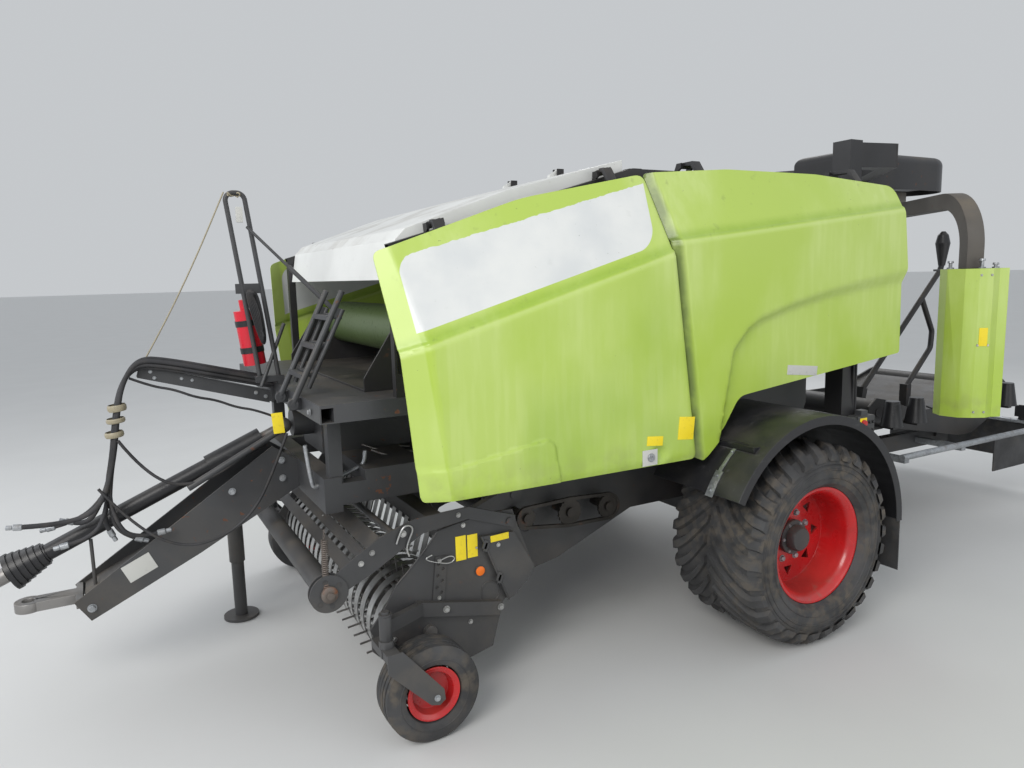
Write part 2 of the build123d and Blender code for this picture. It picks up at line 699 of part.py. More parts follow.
# Drawbar: two cheek plates, an inner tube and the coupling eye
CHEEK_Y = 120.0
CHEEK_T = 10.0
EYE_X = -3436.0
EYE_Z = 489.0
EYE_R = 25.5
DRAWBAR_BACK = FRAME_FRONT - SEAT
with BuildPart() as drawbar:
    for name, side in SIDES:
        plate(((-3256, 500), (-3196, 404), (-2720, 626), (DRAWBAR_BACK, 878), (DRAWBAR_BACK, 1010), (-2359, 1095)),
              side * CHEEK_Y, CHEEK_T)
    bar((-3200, 0, 480), (-2600, 0, 770), 2 * CHEEK_Y - CHEEK_T, 60)
    with Locations((DRAWBAR_BACK - 10, 0, 950)):
        Box(20, 2 * CHEEK_Y - CHEEK_T, 130)
    rod((-3170, 0, 505), (-3170, 0, 743.5), 8)
finish(drawbar.part, "drawbar")
with BuildPart() as eye:
    with BuildSketch(Plane.XY.offset(EYE_Z - 22)):
        with Locations((EYE_X, 0)):
            Circle(55)
        with Locations(((EYE_X - 3222) / 2, 0)):
            Rectangle(-3222 - EYE_X, 90)
        with Locations((-3236, 0)):
            Rectangle(28, 2 * CHEEK_Y - CHEEK_T - 2 * SEAT)
        with Locations((EYE_X, 0)):
            Circle(EYE_R, mode=Mode.SUBTRACT)
    extrude(amount=44)
finish(eye.part, "coupling_eye")

# Parking jack: fixed sleeve and the leg that slides in it
JACK_X = -2480.0
JACK_Y = 500.0
with BuildPart() as jack:
    rod((JACK_X, JACK_Y, 330), (JACK_X, JACK_Y, 900), 42, 34 + FIT)
    rod((JACK_X, JACK_Y, 900), (JACK_X, JACK_Y, 960), 46)
    with Locations(((FRAME_FRONT - SEAT + JACK_X + 40) / 2, JACK_Y, 905)):
        Box(FRAME_FRONT - SEAT - JACK_X - 40, 40, 90)
    with Locations((FRAME_FRONT - SEAT - 8, JACK_Y, 900)):
        Box(16, 140, 140)
finish(jack.part, "jack_sleeve")
with BuildPart() as leg:
    rod((JACK_X, JACK_Y, 12), (JACK_X, JACK_Y, 560), 34)
    with Locations((JACK_X, JACK_Y, 7)):
        Cylinder(95, 14)
finish(leg.part, "jack_leg")

# Drive shaft with its guards, resting on a rod from the drawbar
SHAFT_BACK = Vector(-2330, 0, 1146)
SHAFT_FRONT = Vector(-3350, 0, 712)
shaft_way = (SHAFT_BACK - SHAFT_FRONT).normalized()


def on_shaft(distance):
    p = SHAFT_FRONT + shaft_way * distance
    return (p.X, p.Y, p.Z)


SHAFT_LEN = (SHAFT_BACK - SHAFT_FRONT).length
with BuildPart() as shaft_guard:
    rod(on_shaft(0), on_shaft(SHAFT_LEN - 330), 38, 31)
    rod(on_shaft(SHAFT_LEN - 340), on_shaft(SHAFT_LEN - 60), 50, 31)
    for step in range(6):
        rod(on_shaft(-150 + step * 26), on_shaft(-150 + step * 26 + 20), 84 - step * 6, 44)
        rod(on_shaft(-150 + step * 26 + 18), on_shaft(-150 + step * 26 + 28), 76 - step * 6, 34 if step < 5 else 31)
finish(shaft_guard.part, "shaft_guard")
SPLINE_R = 17.5
with BuildPart() as shaft:
    rod(on_shaft(-245), on_shaft(SHAFT_LEN + 60), 22)
    rod(on_shaft(-265), on_shaft(-165), 36)
    with Locations(on_shaft(SHAFT_LEN + 60)):
        Sphere(40)
    with BuildSketch(Plane(origin=on_shaft(-270), z_dir=shaft_way)) as spline:
        Circle(SPLINE_R)
    extrude(spline.sketch, amount=85, mode=Mode.SUBTRACT)
finish(shaft.part, "drive_shaft")

# Pickup frame: side plates, cross tube, pivot arms, stripper bands
PLATE_Y = PICKUP_HALF - 5
PICKUP_PLATE = (
    (-2165, 425), (-2100, 502), (-2040, 600), (-1902, 722), (-1845, 800), (-1600, 840), (-1470, 835),
    (-1440, 740), (-1366, 550), (-1409, 484), (-1530, 410), (-1590, 205), (-1700, 180), (-1900, 165), (-2080, 215),
)
DRIVE_COVER = ((-1640, 742), (-1478, 736), (-1372, 550), (-1413, 487), (-1486, 430), (-1515, 420))
STRAP = ((-1858, 690), (-1804, 682), (-1826, 468), (-1882, 478))
STRAP_HOLES = ((-1846, 655), (-1826, 628), (-1852, 602), (-1832, 575), (-1858, 549), (-1838, 522))
ARM_BAR_Y = PICKUP_HALF + 15
BEAM_X = -1690.0
BEAM_Z = 690.0
REEL_SHAFT_R = 28.0
TINE_PITCH = 92.0
TINE_ROWS = 20
BAND_W = 50.0
first_tine = -TINE_PITCH * (TINE_ROWS - 1) / 2
TINE_Y = [first_tine + TINE_PITCH * row for row in range(TINE_ROWS)]

with BuildPart() as pickup:
    for name, side in SIDES:
        plate(PICKUP_PLATE, side * PLATE_Y, 10)
        with BuildSketch(side_plane(side * PLATE_Y)) as hole:
            with Locations((REEL_X, REEL_Z)):
                Circle(REEL_SHAFT_R + FIT)
        extrude(hole.sketch, amount=30, both=True, mode=Mode.SUBTRACT)
        rod((GUARD_PIN_X, side * PLATE_Y, GUARD_PIN_Z), (GUARD_PIN_X, side * (GUARD_Y + 12), GUARD_PIN_Z), GUARD_PIN_R)
        arm_y = side * (WALL_OUT + 40)
        bar((BEAM_X, arm_y, BEAM_Z), (PICKUP_PIVOT_X, arm_y, PICKUP_PIVOT_Z), 40, 90)
        with BuildSketch(side_plane(arm_y)) as knuckle:
            with Locations((PICKUP_PIVOT_X, PICKUP_PIVOT_Z)):
                Circle(45)
        extrude(knuckle.sketch, amount=20, both=True)
        with BuildSketch(side_plane(arm_y)) as bore:
            with Locations((PICKUP_PIVOT_X, PICKUP_PIVOT_Z)):
                Circle(PICKUP_PIN_R + FIT)
        extrude(bore.sketch, amount=40, both=True, mode=Mode.SUBTRACT)
        bar((-1560, side * ARM_BAR_Y, 391), (-1965, side * ARM_BAR_Y, 480), 30, 62)
        bar((-1940, side * ARM_BAR_Y, 476), (CASTOR_X + 14, side * (GAUGE_Y - 14), 508), 30, 56)
        rod((CASTOR_X, side * GAUGE_Y, CASTOR_Z), (CASTOR_X, side * GAUGE_Y, CASTOR_Z + CASTOR_TUBE), 26, 16 + FIT)
        with BuildSketch(Plane.XY.offset(CASTOR_Z - 5)) as clear:
            with Locations((CASTOR_X, side * GAUGE_Y)):
                Circle(16 + FIT)
        extrude(clear.sketch, amount=CASTOR_TUBE + 10, mode=Mode.SUBTRACT)
        with BuildSketch(side_plane(side * (PICKUP_HALF + 3))) as strap:
            with BuildLine():
                Polyline(*STRAP, close=True)
            make_face()
            with Locations(*STRAP_HOLES):
                Circle(8, mode=Mode.SUBTRACT)
        extrude(strap.sketch, amount=3, both=True)
        rod((-1646, side * (PICKUP_HALF - 1), 579), (-1646, side * (PICKUP_HALF + 7), 579), 23)
    bar((BEAM_X, -PLATE_Y, BEAM_Z), (BEAM_X, PLATE_Y, BEAM_Z), 90, 90, 6)
    bar((-1625, -PLATE_Y, 235), (-1625, PLATE_Y, 235), 30, 30)
    plate(DRIVE_COVER, -PICKUP_HALF - 11, 24)
    rod((-1642, -PICKUP_HALF - 22, 744), (-1513, -PICKUP_HALF - 22, 418), 5)
finish(pickup.part, "pickup_frame")

# Stripper bands: one wide curved sheet cut into strips where the tines pass
BAND_T = 4.0
with BuildPart() as bands:
    with BuildSketch(side_plane(0)) as band:
        with BuildLine():
            outer = CenterArc((REEL_X, REEL_Z), BAND_R, 55, 250)
            inner = CenterArc((REEL_X, REEL_Z), BAND_R - BAND_T, 55, 250)
            Line(outer @ 0, inner @ 0)
            Line(outer @ 1, inner @ 1)
        make_face()
    extrude(band.sketch, amount=PLATE_Y - 6, both=True)
    for degrees, seat in ((55, (BEAM_X - 47.5, BEAM_Z - 20)), (305, (-1641, 235))):
        turn = math.radians(degrees)
        foot = (REEL_X + (BAND_R - 2) * math.cos(turn), 0, REEL_Z + (BAND_R - 2) * math.sin(turn))
        bar(foot, (seat[0], 0, seat[1]), 2 * (PLATE_Y - 6), BAND_T)
    with Locations(*[(REEL_X, y, REEL_Z) for y in TINE_Y]):
        Box(700, TINE_PITCH - BAND_W, 900, mode=Mode.SUBTRACT)
finish(bands.part, "stripper_bands")

# Tined reel of the pickup
TINE_BARS = 4
with BuildPart() as reel:
    rod((REEL_X, -PLATE_Y - 30, REEL_Z), (REEL_X, PLATE_Y + 30, REEL_Z), REEL_SHAFT_R)
    for row in (0, 6, 13, 19):
        y = TINE_Y[row] + (14 if row < 10 else -14)
        rod((REEL_X, y - 4, REEL_Z), (REEL_X, y + 4, REEL_Z), 130)
    for index in range(TINE_BARS):
        turn = math.radians(20 + 360 / TINE_BARS * index)
        bx = REEL_X + 112 * math.cos(turn)
        bz = REEL_Z + 112 * math.sin(turn)
        rod((bx, TINE_Y[0] - 10, bz), (bx, TINE_Y[-1] + 10, bz), 14)
        bend = turn - math.radians(8)
        tx = REEL_X + REEL_TIP * math.cos(bend)
        tz = REEL_Z + REEL_TIP * math.sin(bend)
        way = Vector(tx - bx, 0, tz - bz)
        with BuildSketch(Plane(origin=(bx, 0, bz), x_dir=(0, 1, 0), z_dir=way)) as tines:
            with Locations(*[(y, 0) for y in TINE_Y]):
                Rectangle(7, 7)
        extrude(tines.sketch, amount=way.length)
finish(reel.part, "pickup_reel")

# Wind guard: arms, deflector and the crop roller in front
CROP_X = -2334.0
CROP_Z = 638.0
CROP_R = 78.0
CROP_DRUM_R = 47.0
SLATS = (
    # top edge x and z, lower edge x and z
    (-2065.0, 782.0, -2127.0, 739.0),
    (-2131.0, 736.0, -2172.0, 708.0),
    (-2192.0, 696.0, -2234.0, 662.0),
)
with BuildPart() as wind_guard:
    for name, side in SIDES:
        y = side * GUARD_Y
        plate(
            ((CROP_X - 20, CROP_Z - 30), (CROP_X - 30, CROP_Z + 25), (-2231, 758), (-2081, 840), (-1947, 880),
             (-1700, 890), (GUARD_PIN_X + 35, GUARD_PIN_Z + 20), (GUARD_PIN_X + 25, GUARD_PIN_Z - 35),
             (-1700, 835), (-1915, 810), (-2024, 752), (-2150, 680), (CROP_X + 30, CROP_Z - 25)),
            y, 10,
        )
        with BuildSketch(side_plane(y)) as holes:
            with Locations((GUARD_PIN_X, GUARD_PIN_Z)):
                Circle(GUARD_PIN_R + FIT)
            with Locations((CROP_X, CROP_Z)):
                Circle(16 + FIT)
        extrude(holes.sketch, amount=20, both=True, mode=Mode.SUBTRACT)
    rod((-1999, -GUARD_Y, 780), (-1999, GUARD_Y, 780), 16)
    for x, z, low_x, low_z in SLATS:
        plate(((x, z), (x - 3, z + 4), (low_x - 3, low_z + 4), (low_x, low_z)), 0, 2 * GUARD_Y)
finish(wind_guard.part, "wind_guard")
with BuildPart() as crop_roller:
    rod((CROP_X, -GUARD_Y - 12, CROP_Z), (CROP_X, GUARD_Y + 12, CROP_Z), 16)
    rod((CROP_X, -GUARD_Y + 13, CROP_Z), (CROP_X, GUARD_Y - 13, CROP_Z), CROP_DRUM_R)
    for name, side in SIDES:
        rod((CROP_X, side * (GUARD_Y + 6), CROP_Z), (CROP_X, side * (GUARD_Y + 14), CROP_Z), CROP_R)
        rod((CROP_X, side * (GUARD_Y - 14), CROP_Z), (CROP_X, side * (GUARD_Y - 22), CROP_Z), CROP_R)
finish(crop_roller.part, "crop_roller")

# Gauge wheels and their castors
for name, side in SIDES:
    y = side * GAUGE_Y
    fork_y = side * (GAUGE_Y - GAUGE_W / 2 - 16)
    with BuildPart() as castor:
        top = CASTOR_Z + CASTOR_TUBE
        rod((CASTOR_X, y, CASTOR_Z - 65), (CASTOR_X, y, top + 20), 16)
        rod((CASTOR_X, y, CASTOR_Z - 65), (CASTOR_X, y, CASTOR_Z - SEAT), 30)
        rod((CASTOR_X, y, top + SEAT), (CASTOR_X, y, top + 10), 26)
        bar((CASTOR_X, y + side * 25, CASTOR_Z - 48), (CASTOR_X, fork_y - side * 5, CASTOR_Z - 48), 60, 34)
        plate(((CASTOR_X - 30, CASTOR_Z - 32), (CASTOR_X + 34, CASTOR_Z - 32), (GAUGE_X + 34, GAUGE_R + 14),
               (GAUGE_X + 24, GAUGE_R - 26), (GAUGE_X - 20, GAUGE_R - 26), (CASTOR_X - 30, CASTOR_Z - 86)), fork_y, 10)
        rod((GAUGE_X, fork_y, GAUGE_R), (GAUGE_X, y + side * GAUGE_W / 2, GAUGE_R), GAUGE_PIN_R)
    finish(castor.part, "castor_" + name)
    with BuildPart() as gauge_rim:
        half = GAUGE_W / 2 - 14
        turned(
            ((-half, GAUGE_PIN_R + FIT), (-half, 30), (-20, 34), (-20, 80), (-half + 10, 90), (-half, GAUGE_RIM_R),
             (-half + 8, GAUGE_RIM_R), (-half + 20, 98), (half - 20, 98), (half - 8, GAUGE_RIM_R),
             (half, GAUGE_RIM_R), (half - 10, 90), (-12, 80), (-12, 34), (half, 30), (half, GAUGE_PIN_R + FIT)),
            GAUGE_X, y, GAUGE_R,
        )
    finish(gauge_rim.part, "gauge_rim_" + name)
    with BuildPart() as gauge_tyre:
        edge = GAUGE_W / 2
        turned(
            ((-half + 8, GAUGE_RIM_R + SEAT), (-edge, GAUGE_RIM_R + 30), (-edge, GAUGE_R - 40),
             (-edge + 14, GAUGE_R - 10), (-edge + 40, GAUGE_R), (edge - 40, GAUGE_R), (edge - 14, GAUGE_R - 10),
             (edge, GAUGE_R - 40), (edge, GAUGE_RIM_R + 30), (half - 8, GAUGE_RIM_R + SEAT)),
            GAUGE_X, y, GAUGE_R,
        )
    finish(gauge_tyre.part, "gauge_tyre_" + name)

# Feed rotor between the pickup and the chamber
with BuildPart() as feed_rotor:
    rod((FEED_X, -WALL_IN - 15, FEED_Z), (FEED_X, WALL_IN + 15, FEED_Z), FEED_SHAFT_R)
    rod((FEED_X, -WALL_IN + 6, FEED_Z), (FEED_X, WALL_IN - 6, FEED_Z), 90)
    for star in range(9):
        y = -520 + 130 * star
        for index in range(4):
            turn = math.radians(90 * index + 22 * star)
            bar((FEED_X, y, FEED_Z), (FEED_X + FEED_R * math.cos(turn), y, FEED_Z + FEED_R * math.sin(turn)), 16, 60)
finish(feed_rotor.part, "feed_rotor")

# Chain drive on the left, in front of the wheel
DRIVE_Y = -760.0
SPROCKETS = (
    # x, z, radius, teeth
    (-1300.0, 714.0, 45.0, 13),
    (-1050.0, 701.0, 65.0, 19),
    (-814.0, 692.0, 60.0, 17),
)
DISC_HALF = 6.0
TOOTH = 3.5
LINK_T = 3.0
LINK_PINS = 52
with BuildPart() as sprockets:
    for x, z, radius, teeth in SPROCKETS:
        with BuildSketch(side_plane(DRIVE_Y)) as toothed:
            with Locations((x, z)):
                Circle(radius)
                with PolarLocations(radius - 1, teeth):
                    Rectangle(2 * TOOTH + 2, 7)
        extrude(toothed.sketch, amount=DISC_HALF, both=True)
        rod((x, DRIVE_Y - 20, z), (x, -WALL_OUT - SEAT, z), 24)
finish(sprockets.part, "drive_sprockets")


def chain_loop(y, grow):
    with BuildSketch(side_plane(y)) as loop:
        with BuildLine():
            for x, z, radius, teeth in SPROCKETS:
                CenterArc((x, z), radius + grow, 0, 360)
        make_hull()
    return loop.sketch


pitch_line = chain_loop(DRIVE_Y, 7.5).wire()
with BuildPart() as chain:
    for flank in (-1, 1):
        link_y = DRIVE_Y + flank * (DISC_HALF + SEAT + LINK_T / 2)
        extrude(chain_loop(link_y, 12), amount=LINK_T / 2, both=True)
        extrude(chain_loop(link_y, -4), amount=LINK_T, both=True, mode=Mode.SUBTRACT)
    pins = [pitch_line @ (pin / LINK_PINS) for pin in range(LINK_PINS)]
    with BuildSketch(side_plane(DRIVE_Y)) as pin_rows:
        with Locations(*[(pin.X, pin.Z) for pin in pins]):
            RegularPolygon(3.4, 6)
    extrude(pin_rows.sketch, amount=DISC_HALF + SEAT + LINK_T / 2, both=True)
finish(chain.part, "drive_chain")

# Hollow cover of the head beam, rounded along its top
with BuildPart() as head_hollow:
    with BuildSketch(Plane.XY.offset(BEAM_LOW - 20)) as inner_outline:
        with Locations(((HEAD_START + 7 + HEAD_X) / 2, 0)):
            Rectangle(HEAD_X - HEAD_START - 7, 2 * (HEAD_HALF - 7))
        with Locations((HEAD_X, 0)):
            Circle(HEAD_HALF - 7)
    extrude(inner_outline.sketch, amount=BEAM_TOP - 7 - BEAM_LOW + 20)
    fillet(head_hollow.faces().sort_by(Axis.Z)[-1].edges(), BEAM_ROUND - 7)
with BuildPart() as head_cover:
    with BuildSketch(Plane.XY.offset(BEAM_LOW)) as outer_outline:
        with Locations(((HEAD_START + HEAD_X) / 2, 0)):
            Rectangle(HEAD_X - HEAD_START, 2 * HEAD_HALF)
        with Locations((HEAD_X, 0)):
            Circle(HEAD_HALF)
    extrude(outer_outline.sketch, amount=BEAM_TOP - BEAM_LOW)
    fillet(head_cover.faces().sort_by(Axis.Z)[-1].edges(), BEAM_ROUND)
    add(head_hollow.part, mode=Mode.SUBTRACT)

# Portal: a post on each side, two arms that meet in the middle and the hooded head beam
with BuildPart() as portal:
    low = REAR_RAIL_Z - SEAT - 39
    bar((760, -POST_Y - 50, low), (760, POST_Y + 50, low), 100, 78, 8)
    for name, side in SIDES:
        bar((POST_X, side * POST_Y, 522), (POST_X, side * POST_Y, 2600), 120, 100, 8)
        bar((POST_X + 49, side * (POST_Y - 60), 2530), (1250, side * (POST_Y - 60), 2545), 110, 140, 8)
        bar((1220, side * (POST_Y - 40), 2545), (1960, side * 60, 2560), 110, 140, 8)
    bar((1900, 0, 2555), (HEAD_X + 100, 0, 2555), 160, 150, 8)
    rod((ROTOR_X, 0, 2490), (ROTOR_X, 0, 2330), 60)
    for x in (1850, HEAD_X - 60):
        with Locations((x, 0, 2658)):
            Box(12, 2 * HEAD_HALF - 130, 84)
    add(head_cover.part)
finish(portal.part, "wrap_portal")

# Wrapping rotor: hub and two bent arms
turn = math.radians(ARM_TURN)
ARM_WAYS = (("left", Vector(-math.sin(turn), -math.cos(turn), 0)), ("right", Vector(math.sin(turn), math.cos(turn), 0)))
ARM_BEND = 300.0
with BuildPart() as rotor:
    rod((ROTOR_X, 0, ARM_Z - 70), (ROTOR_X, 0, BEAM_LOW - SWING), 150, 60 + FIT)
    for name, way in ARM_WAYS:
        with BuildSketch(Plane(origin=(ROTOR_X, 0, 0), x_dir=way, z_dir=way.cross(Vector(0, 0, 1)))) as arm:
            with BuildLine():
                Polyline((90, ARM_Z + 50), (ARM_R - ARM_BEND, ARM_Z + 50))
                CenterArc((ARM_R - ARM_BEND, ARM_Z - ARM_BEND), ARM_BEND + 50, 0, 90)
                Polyline(
                    (ARM_R + 50, ARM_Z - ARM_BEND), (ARM_R + 50, GUARD_TOP), (ARM_R - 50, GUARD_TOP),
                    (ARM_R - 50, ARM_Z - ARM_BEND),
                )
                CenterArc((ARM_R - ARM_BEND, ARM_Z - ARM_BEND), ARM_BEND - 50, 0, 90)
                Polyline((ARM_R - ARM_BEND, ARM_Z - 50), (90, ARM_Z - 50), (90, ARM_Z + 50))
            make_face()
        extrude(arm.sketch, amount=50, both=True)
finish(rotor.part, "wrap_rotor")

# Film units: a folded guard, end plates and stretch rollers
FOLD = (
    (1300, -165), (1390, -165), (1465, -95), (1480, -20), (1480, 60), (1450, 110), (1450, 165), (1300, 165),
    (1300, 162), (1447, 162), (1447, 108), (1477, 59), (1477, -19), (1462, -92), (1389, -162), (1300, -162),
)
UNIT_H = GUARD_TOP - GUARD_LOW


def unit_plane(way):
    return Plane(origin=Vector(ROTOR_X, 0, GUARD_LOW), x_dir=way, z_dir=(0, 0, 1))


with BuildPart() as guards:
    for name, way in ARM_WAYS:
        with BuildSketch(unit_plane(way)) as fold:
            with BuildLine():
                Polyline(*FOLD, close=True)
            make_face()
        extrude(fold.sketch, amount=UNIT_H - SEAT)
finish(guards.part, "film_guards")
with BuildPart() as units:
    for name, way in ARM_WAYS:
        for z in (20, UNIT_H - 12 - SEAT):
            with BuildSketch(unit_plane(way).offset(z)) as end:
                with Locations((1290, 0)):
                    Rectangle(180, 2 * (162 - SEAT))
                with Locations((1400, 25)):
                    Rectangle(90, 230)
            extrude(end.sketch, amount=12)
        for r, t, radius in ((1400, -70, 40), (1400, 45, 40), (1260, 0, 24)):
            with BuildSketch(unit_plane(way).offset(32)) as roll:
                with Locations((r, t)):
                    Circle(radius)
            extrude(roll.sketch, amount=UNIT_H - 44 - SEAT)
finish(units.part, "film_units")

# Wrapping table: side plates, cross tubes and bed, tilting on the rear pivot
TABLE_PLATE = (
    (1520, 800), (1540, 930), (1620, 985), (1720, 965), (2100, 845), (2700, 845), (3060, 965),
    (3160, 985), (3240, 930), (3260, 800), (2780, 600), (2620, 600), (2300, 660),
)
FRONT_ROLLER_X = 1640.0
REAR_ROLLER_X = 3140.0
TABLE_ROLLER_Z = 880.0
TABLE_ROLLER_R = 88.0
CONES = ((1590.0, -1), (1590.0, 1), (1850.0, -1), (1850.0, 1), (2960.0, -1), (2960.0, 1))
CONE_Y = 700.0
with BuildPart() as table:
    for name, side in SIDES:
        plate(TABLE_PLATE, side * (TABLE_HALF - 8), 16)
        for x in (FRONT_ROLLER_X, REAR_ROLLER_X):
            with BuildSketch(side_plane(side * (TABLE_HALF - 8))) as bearing:
                with Locations((x, TABLE_ROLLER_Z)):
                    Circle(30 + FIT)
            extrude(bearing.sketch, amount=30, both=True, mode=Mode.SUBTRACT)
        with BuildSketch(side_plane(side * (SUB_Y + 72))) as lug:
            with Locations((TABLE_PIVOT_X, TABLE_PIVOT_Z)):
                Circle(55)
            with Locations((TABLE_PIVOT_X, TABLE_PIVOT_Z + 80)):
                Rectangle(110, 160)
            with Locations((TABLE_PIVOT_X, TABLE_PIVOT_Z)):
                Circle(PIVOT_R + FIT, mode=Mode.SUBTRACT)
        extrude(lug.sketch, amount=10, both=True)
    for x, z in ((2150, 740), (2700, 760)):
        bar((x, -TABLE_HALF + 10, z), (x, TABLE_HALF - 10, z), 100, 80, 5)
    with BuildSketch(side_plane(0)) as bed:
        with BuildLine():
            ThreePointArc((1745, 930), (2400, 815), (3035, 930))
            Line((3035, 930), (3035, 922))
            ThreePointArc((3035, 922), (2400, 807), (1745, 922))
            Line((1745, 922), (1745, 930))
        make_face()
    extrude(bed.sketch, amount=TABLE_HALF - 14, both=True)
    for x, side in CONES:
        bar((x, side * (TABLE_HALF - 4), 806), (x, side * (CONE_Y + 30), 806), 50, 20)
finish(table.part, "wrap_table")
for place, x in (("front", FRONT_ROLLER_X), ("rear", REAR_ROLLER_X)):
    with BuildPart() as roller:
        rod((x, -TABLE_HALF + 24, TABLE_ROLLER_Z), (x, TABLE_HALF - 24, TABLE_ROLLER_Z), TABLE_ROLLER_R)
        rod((x, -TABLE_HALF - 4, TABLE_ROLLER_Z), (x, TABLE_HALF + 4, TABLE_ROLLER_Z), 30)
    finish(roller.part, "table_roller_" + place)
with BuildPart() as cones:
    for x, side in CONES:
        with Locations((x, side * CONE_Y, 816 + SEAT + 85)):
            Cone(72, 45, 170)
finish(cones.part, "guide_cones")

# Guide bow of two bent tubes on the bed, with a pear-shaped pad
BOW_Y = -300.0
BOW_TUBES = (
    (((1800, 985), (2700, 1862), (2700, 2010)), 110.0),
    (((2320, 960), (2610, 1250), (2620, 1380), (2470, 1640)), 60.0),
)
BOW_PAD = ((1880, 24, 2050, 52), (2050, 52, 2112, 38), (2112, 38, 2140, 14))
bow_tubes = []
for corners, bend in BOW_TUBES:
    with BuildPart() as bow_tube:
        with BuildLine(side_plane(BOW_Y)) as run:
            FilletPolyline(*corners, radius=bend)
        with BuildSketch(Plane(origin=run.line @ 0, z_dir=run.line % 0)) as tube:
            Circle(20)
        sweep(tube.sketch, path=run.line)
    bow_tubes.append(bow_tube.part)
with BuildPart() as bow:
    for run_of_tube in bow_tubes:
        add(run_of_tube)
    for low, radius, high, top in BOW_PAD:
        with Locations((2700, BOW_Y, (low + high) / 2)):
            Cone(radius, top, high - low)
    plate(((1770, 921.3), (1812, 907.1), (1836, 1004), (1790, 1020)), BOW_Y, 60)
    plate(((2296, 817.6), (2344, 815.8), (2352, 992), (2296, 992)), BOW_Y, 60)
finish(bow.part, "guide_bow")

# Rear guard rails with the skirts and the drop mat
RAIL_OUT = 720.0
REAR_END = 3585.6
with BuildPart() as guard_rail:
    for name, side in SIDES:
        rod((1690, side * RAIL_OUT, 585), (REAR_END, side * RAIL_OUT, 585), 22)
        for x in (1740, 2400):
            bar((x, side * (SUB_Y + 35), 560), (x, side * (RAIL_OUT + 4), 560), 50, 40)
    rod((REAR_END - 4, -RAIL_OUT, 585), (REAR_END - 4, RAIL_OUT, 585), 18)
finish(guard_rail.part, "guard_rail")
with BuildPart() as skirts:
    for name, side in SIDES:
        with Locations((3170, side * RAIL_OUT, 563 - SEAT - 120)):
            Box(740, 8, 240)
finish(skirts.part, "side_skirts")
with BuildPart() as mat:
    with Locations((REAR_END + 18 + SEAT, 0, 430)):
        Box(8, 2 * RAIL_OUT - 80, 330)
finish(mat.part, "drop_mat")

# Lamp clusters on the rear rail
LAMP_Y = 560.0
with BuildPart() as lamps:
    for name, side in SIDES:
        with Locations((REAR_END - 4, side * LAMP_Y, 585 + 18 + SEAT + 5)):
            Box(44, 150, 10)
        with Locations((REAR_END - 16, side * LAMP_Y, 585 + 18 + SEAT + 60)):
            Box(8, 150, 120)
        with Locations((REAR_END - 1, side * LAMP_Y, 585 + 18 + SEAT + 66)):
            Box(38, 210, 92)
finish(lamps.part, "rear_lamps")

# Control box on its column by the left post
with BuildPart() as control_box:
    box_y = -POST_Y - 60 - 38
    with Locations((880, box_y, 950)):
        Box(150, 76, 130)
    with Locations((880, box_y, 1030)):
        Box(60, 50, 32)
finish(control_box.part, "control_box")

# Hose beam, tube stand and extinguisher at the front
with BuildPart() as hose_beam:
    bar((-2909, 0, 1500), (DECK_FRONT - 10, 0, 1325), 60, 60, 5)
    with Locations((DECK_FRONT - 6 - SEAT, 0, 1350)):
        Box(12, 120, 100)
finish(hose_beam.part, "hose_beam")
STAND_Y = -150.0
STAND_RUN = ((-2309, 1435), (-2410, 2298), (-2496, 2298), (-2396, 1435))
with BuildPart() as stand:
    with BuildLine(side_plane(STAND_Y)) as bent:
        FilletPolyline(*STAND_RUN, radius=36)
    with BuildSketch(Plane(origin=bent.line @ 0, z_dir=bent.line % 0)) as tube:
        Circle(11)
    sweep(tube.sketch, path=bent.line)
    with Locations((-2352, STAND_Y, 1432)):
        Box(130, 40, 30)
    with Locations((-2290, STAND_Y, DECK_Z + 8 + 9)):
        Box(56, 40, 18)
finish(stand.part, "tube_stand")
LEG_SLOPE = (STAND_RUN[2][0] - STAND_RUN[3][0]) / (STAND_RUN[2][1] - STAND_RUN[3][1])


def on_leg(z):
    return (STAND_RUN[3][0] + LEG_SLOPE * (z - STAND_RUN[3][1]), STAND_Y + 11 + SEAT + 52, z)


with BuildPart() as extinguisher:
    rod(on_leg(1500), on_leg(1760), 52)
    rod(on_leg(1750), on_leg(1810), 20)
finish(extinguisher.part, "extinguisher")
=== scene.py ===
import math

import bmesh
import bpy
from mathutils import Matrix, Vector


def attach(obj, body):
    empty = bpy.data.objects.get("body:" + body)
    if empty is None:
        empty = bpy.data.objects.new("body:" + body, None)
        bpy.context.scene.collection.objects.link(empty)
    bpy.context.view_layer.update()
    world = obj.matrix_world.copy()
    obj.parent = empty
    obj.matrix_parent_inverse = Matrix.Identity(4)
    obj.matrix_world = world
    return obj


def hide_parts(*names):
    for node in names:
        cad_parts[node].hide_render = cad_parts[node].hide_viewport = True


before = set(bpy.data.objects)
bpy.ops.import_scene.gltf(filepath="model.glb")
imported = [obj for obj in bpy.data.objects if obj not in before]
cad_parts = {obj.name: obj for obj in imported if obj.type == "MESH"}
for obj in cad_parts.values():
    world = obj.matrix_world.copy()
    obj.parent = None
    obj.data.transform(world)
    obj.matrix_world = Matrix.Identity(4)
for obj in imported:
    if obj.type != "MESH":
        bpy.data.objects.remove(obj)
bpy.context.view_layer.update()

bl_info = {
    "name": "Round baler wrapper",
    "version": (1, 0, 0),
    "blender": (4, 5, 0),
    "location": "3D View > Sidebar > Baler",
    "description": "Dresses a towed round baler with its film wrapper",
    "category": "Object",
}

SIDES = (("left", -1), ("right", 1))
OUT = (0, -1, 0)

# Middles of the main wheels and gauge wheels on the right side, in metres
WHEEL = (0.0, 1.165, 0.515)
GAUGE = (-1.985, 1.105, 0.206)
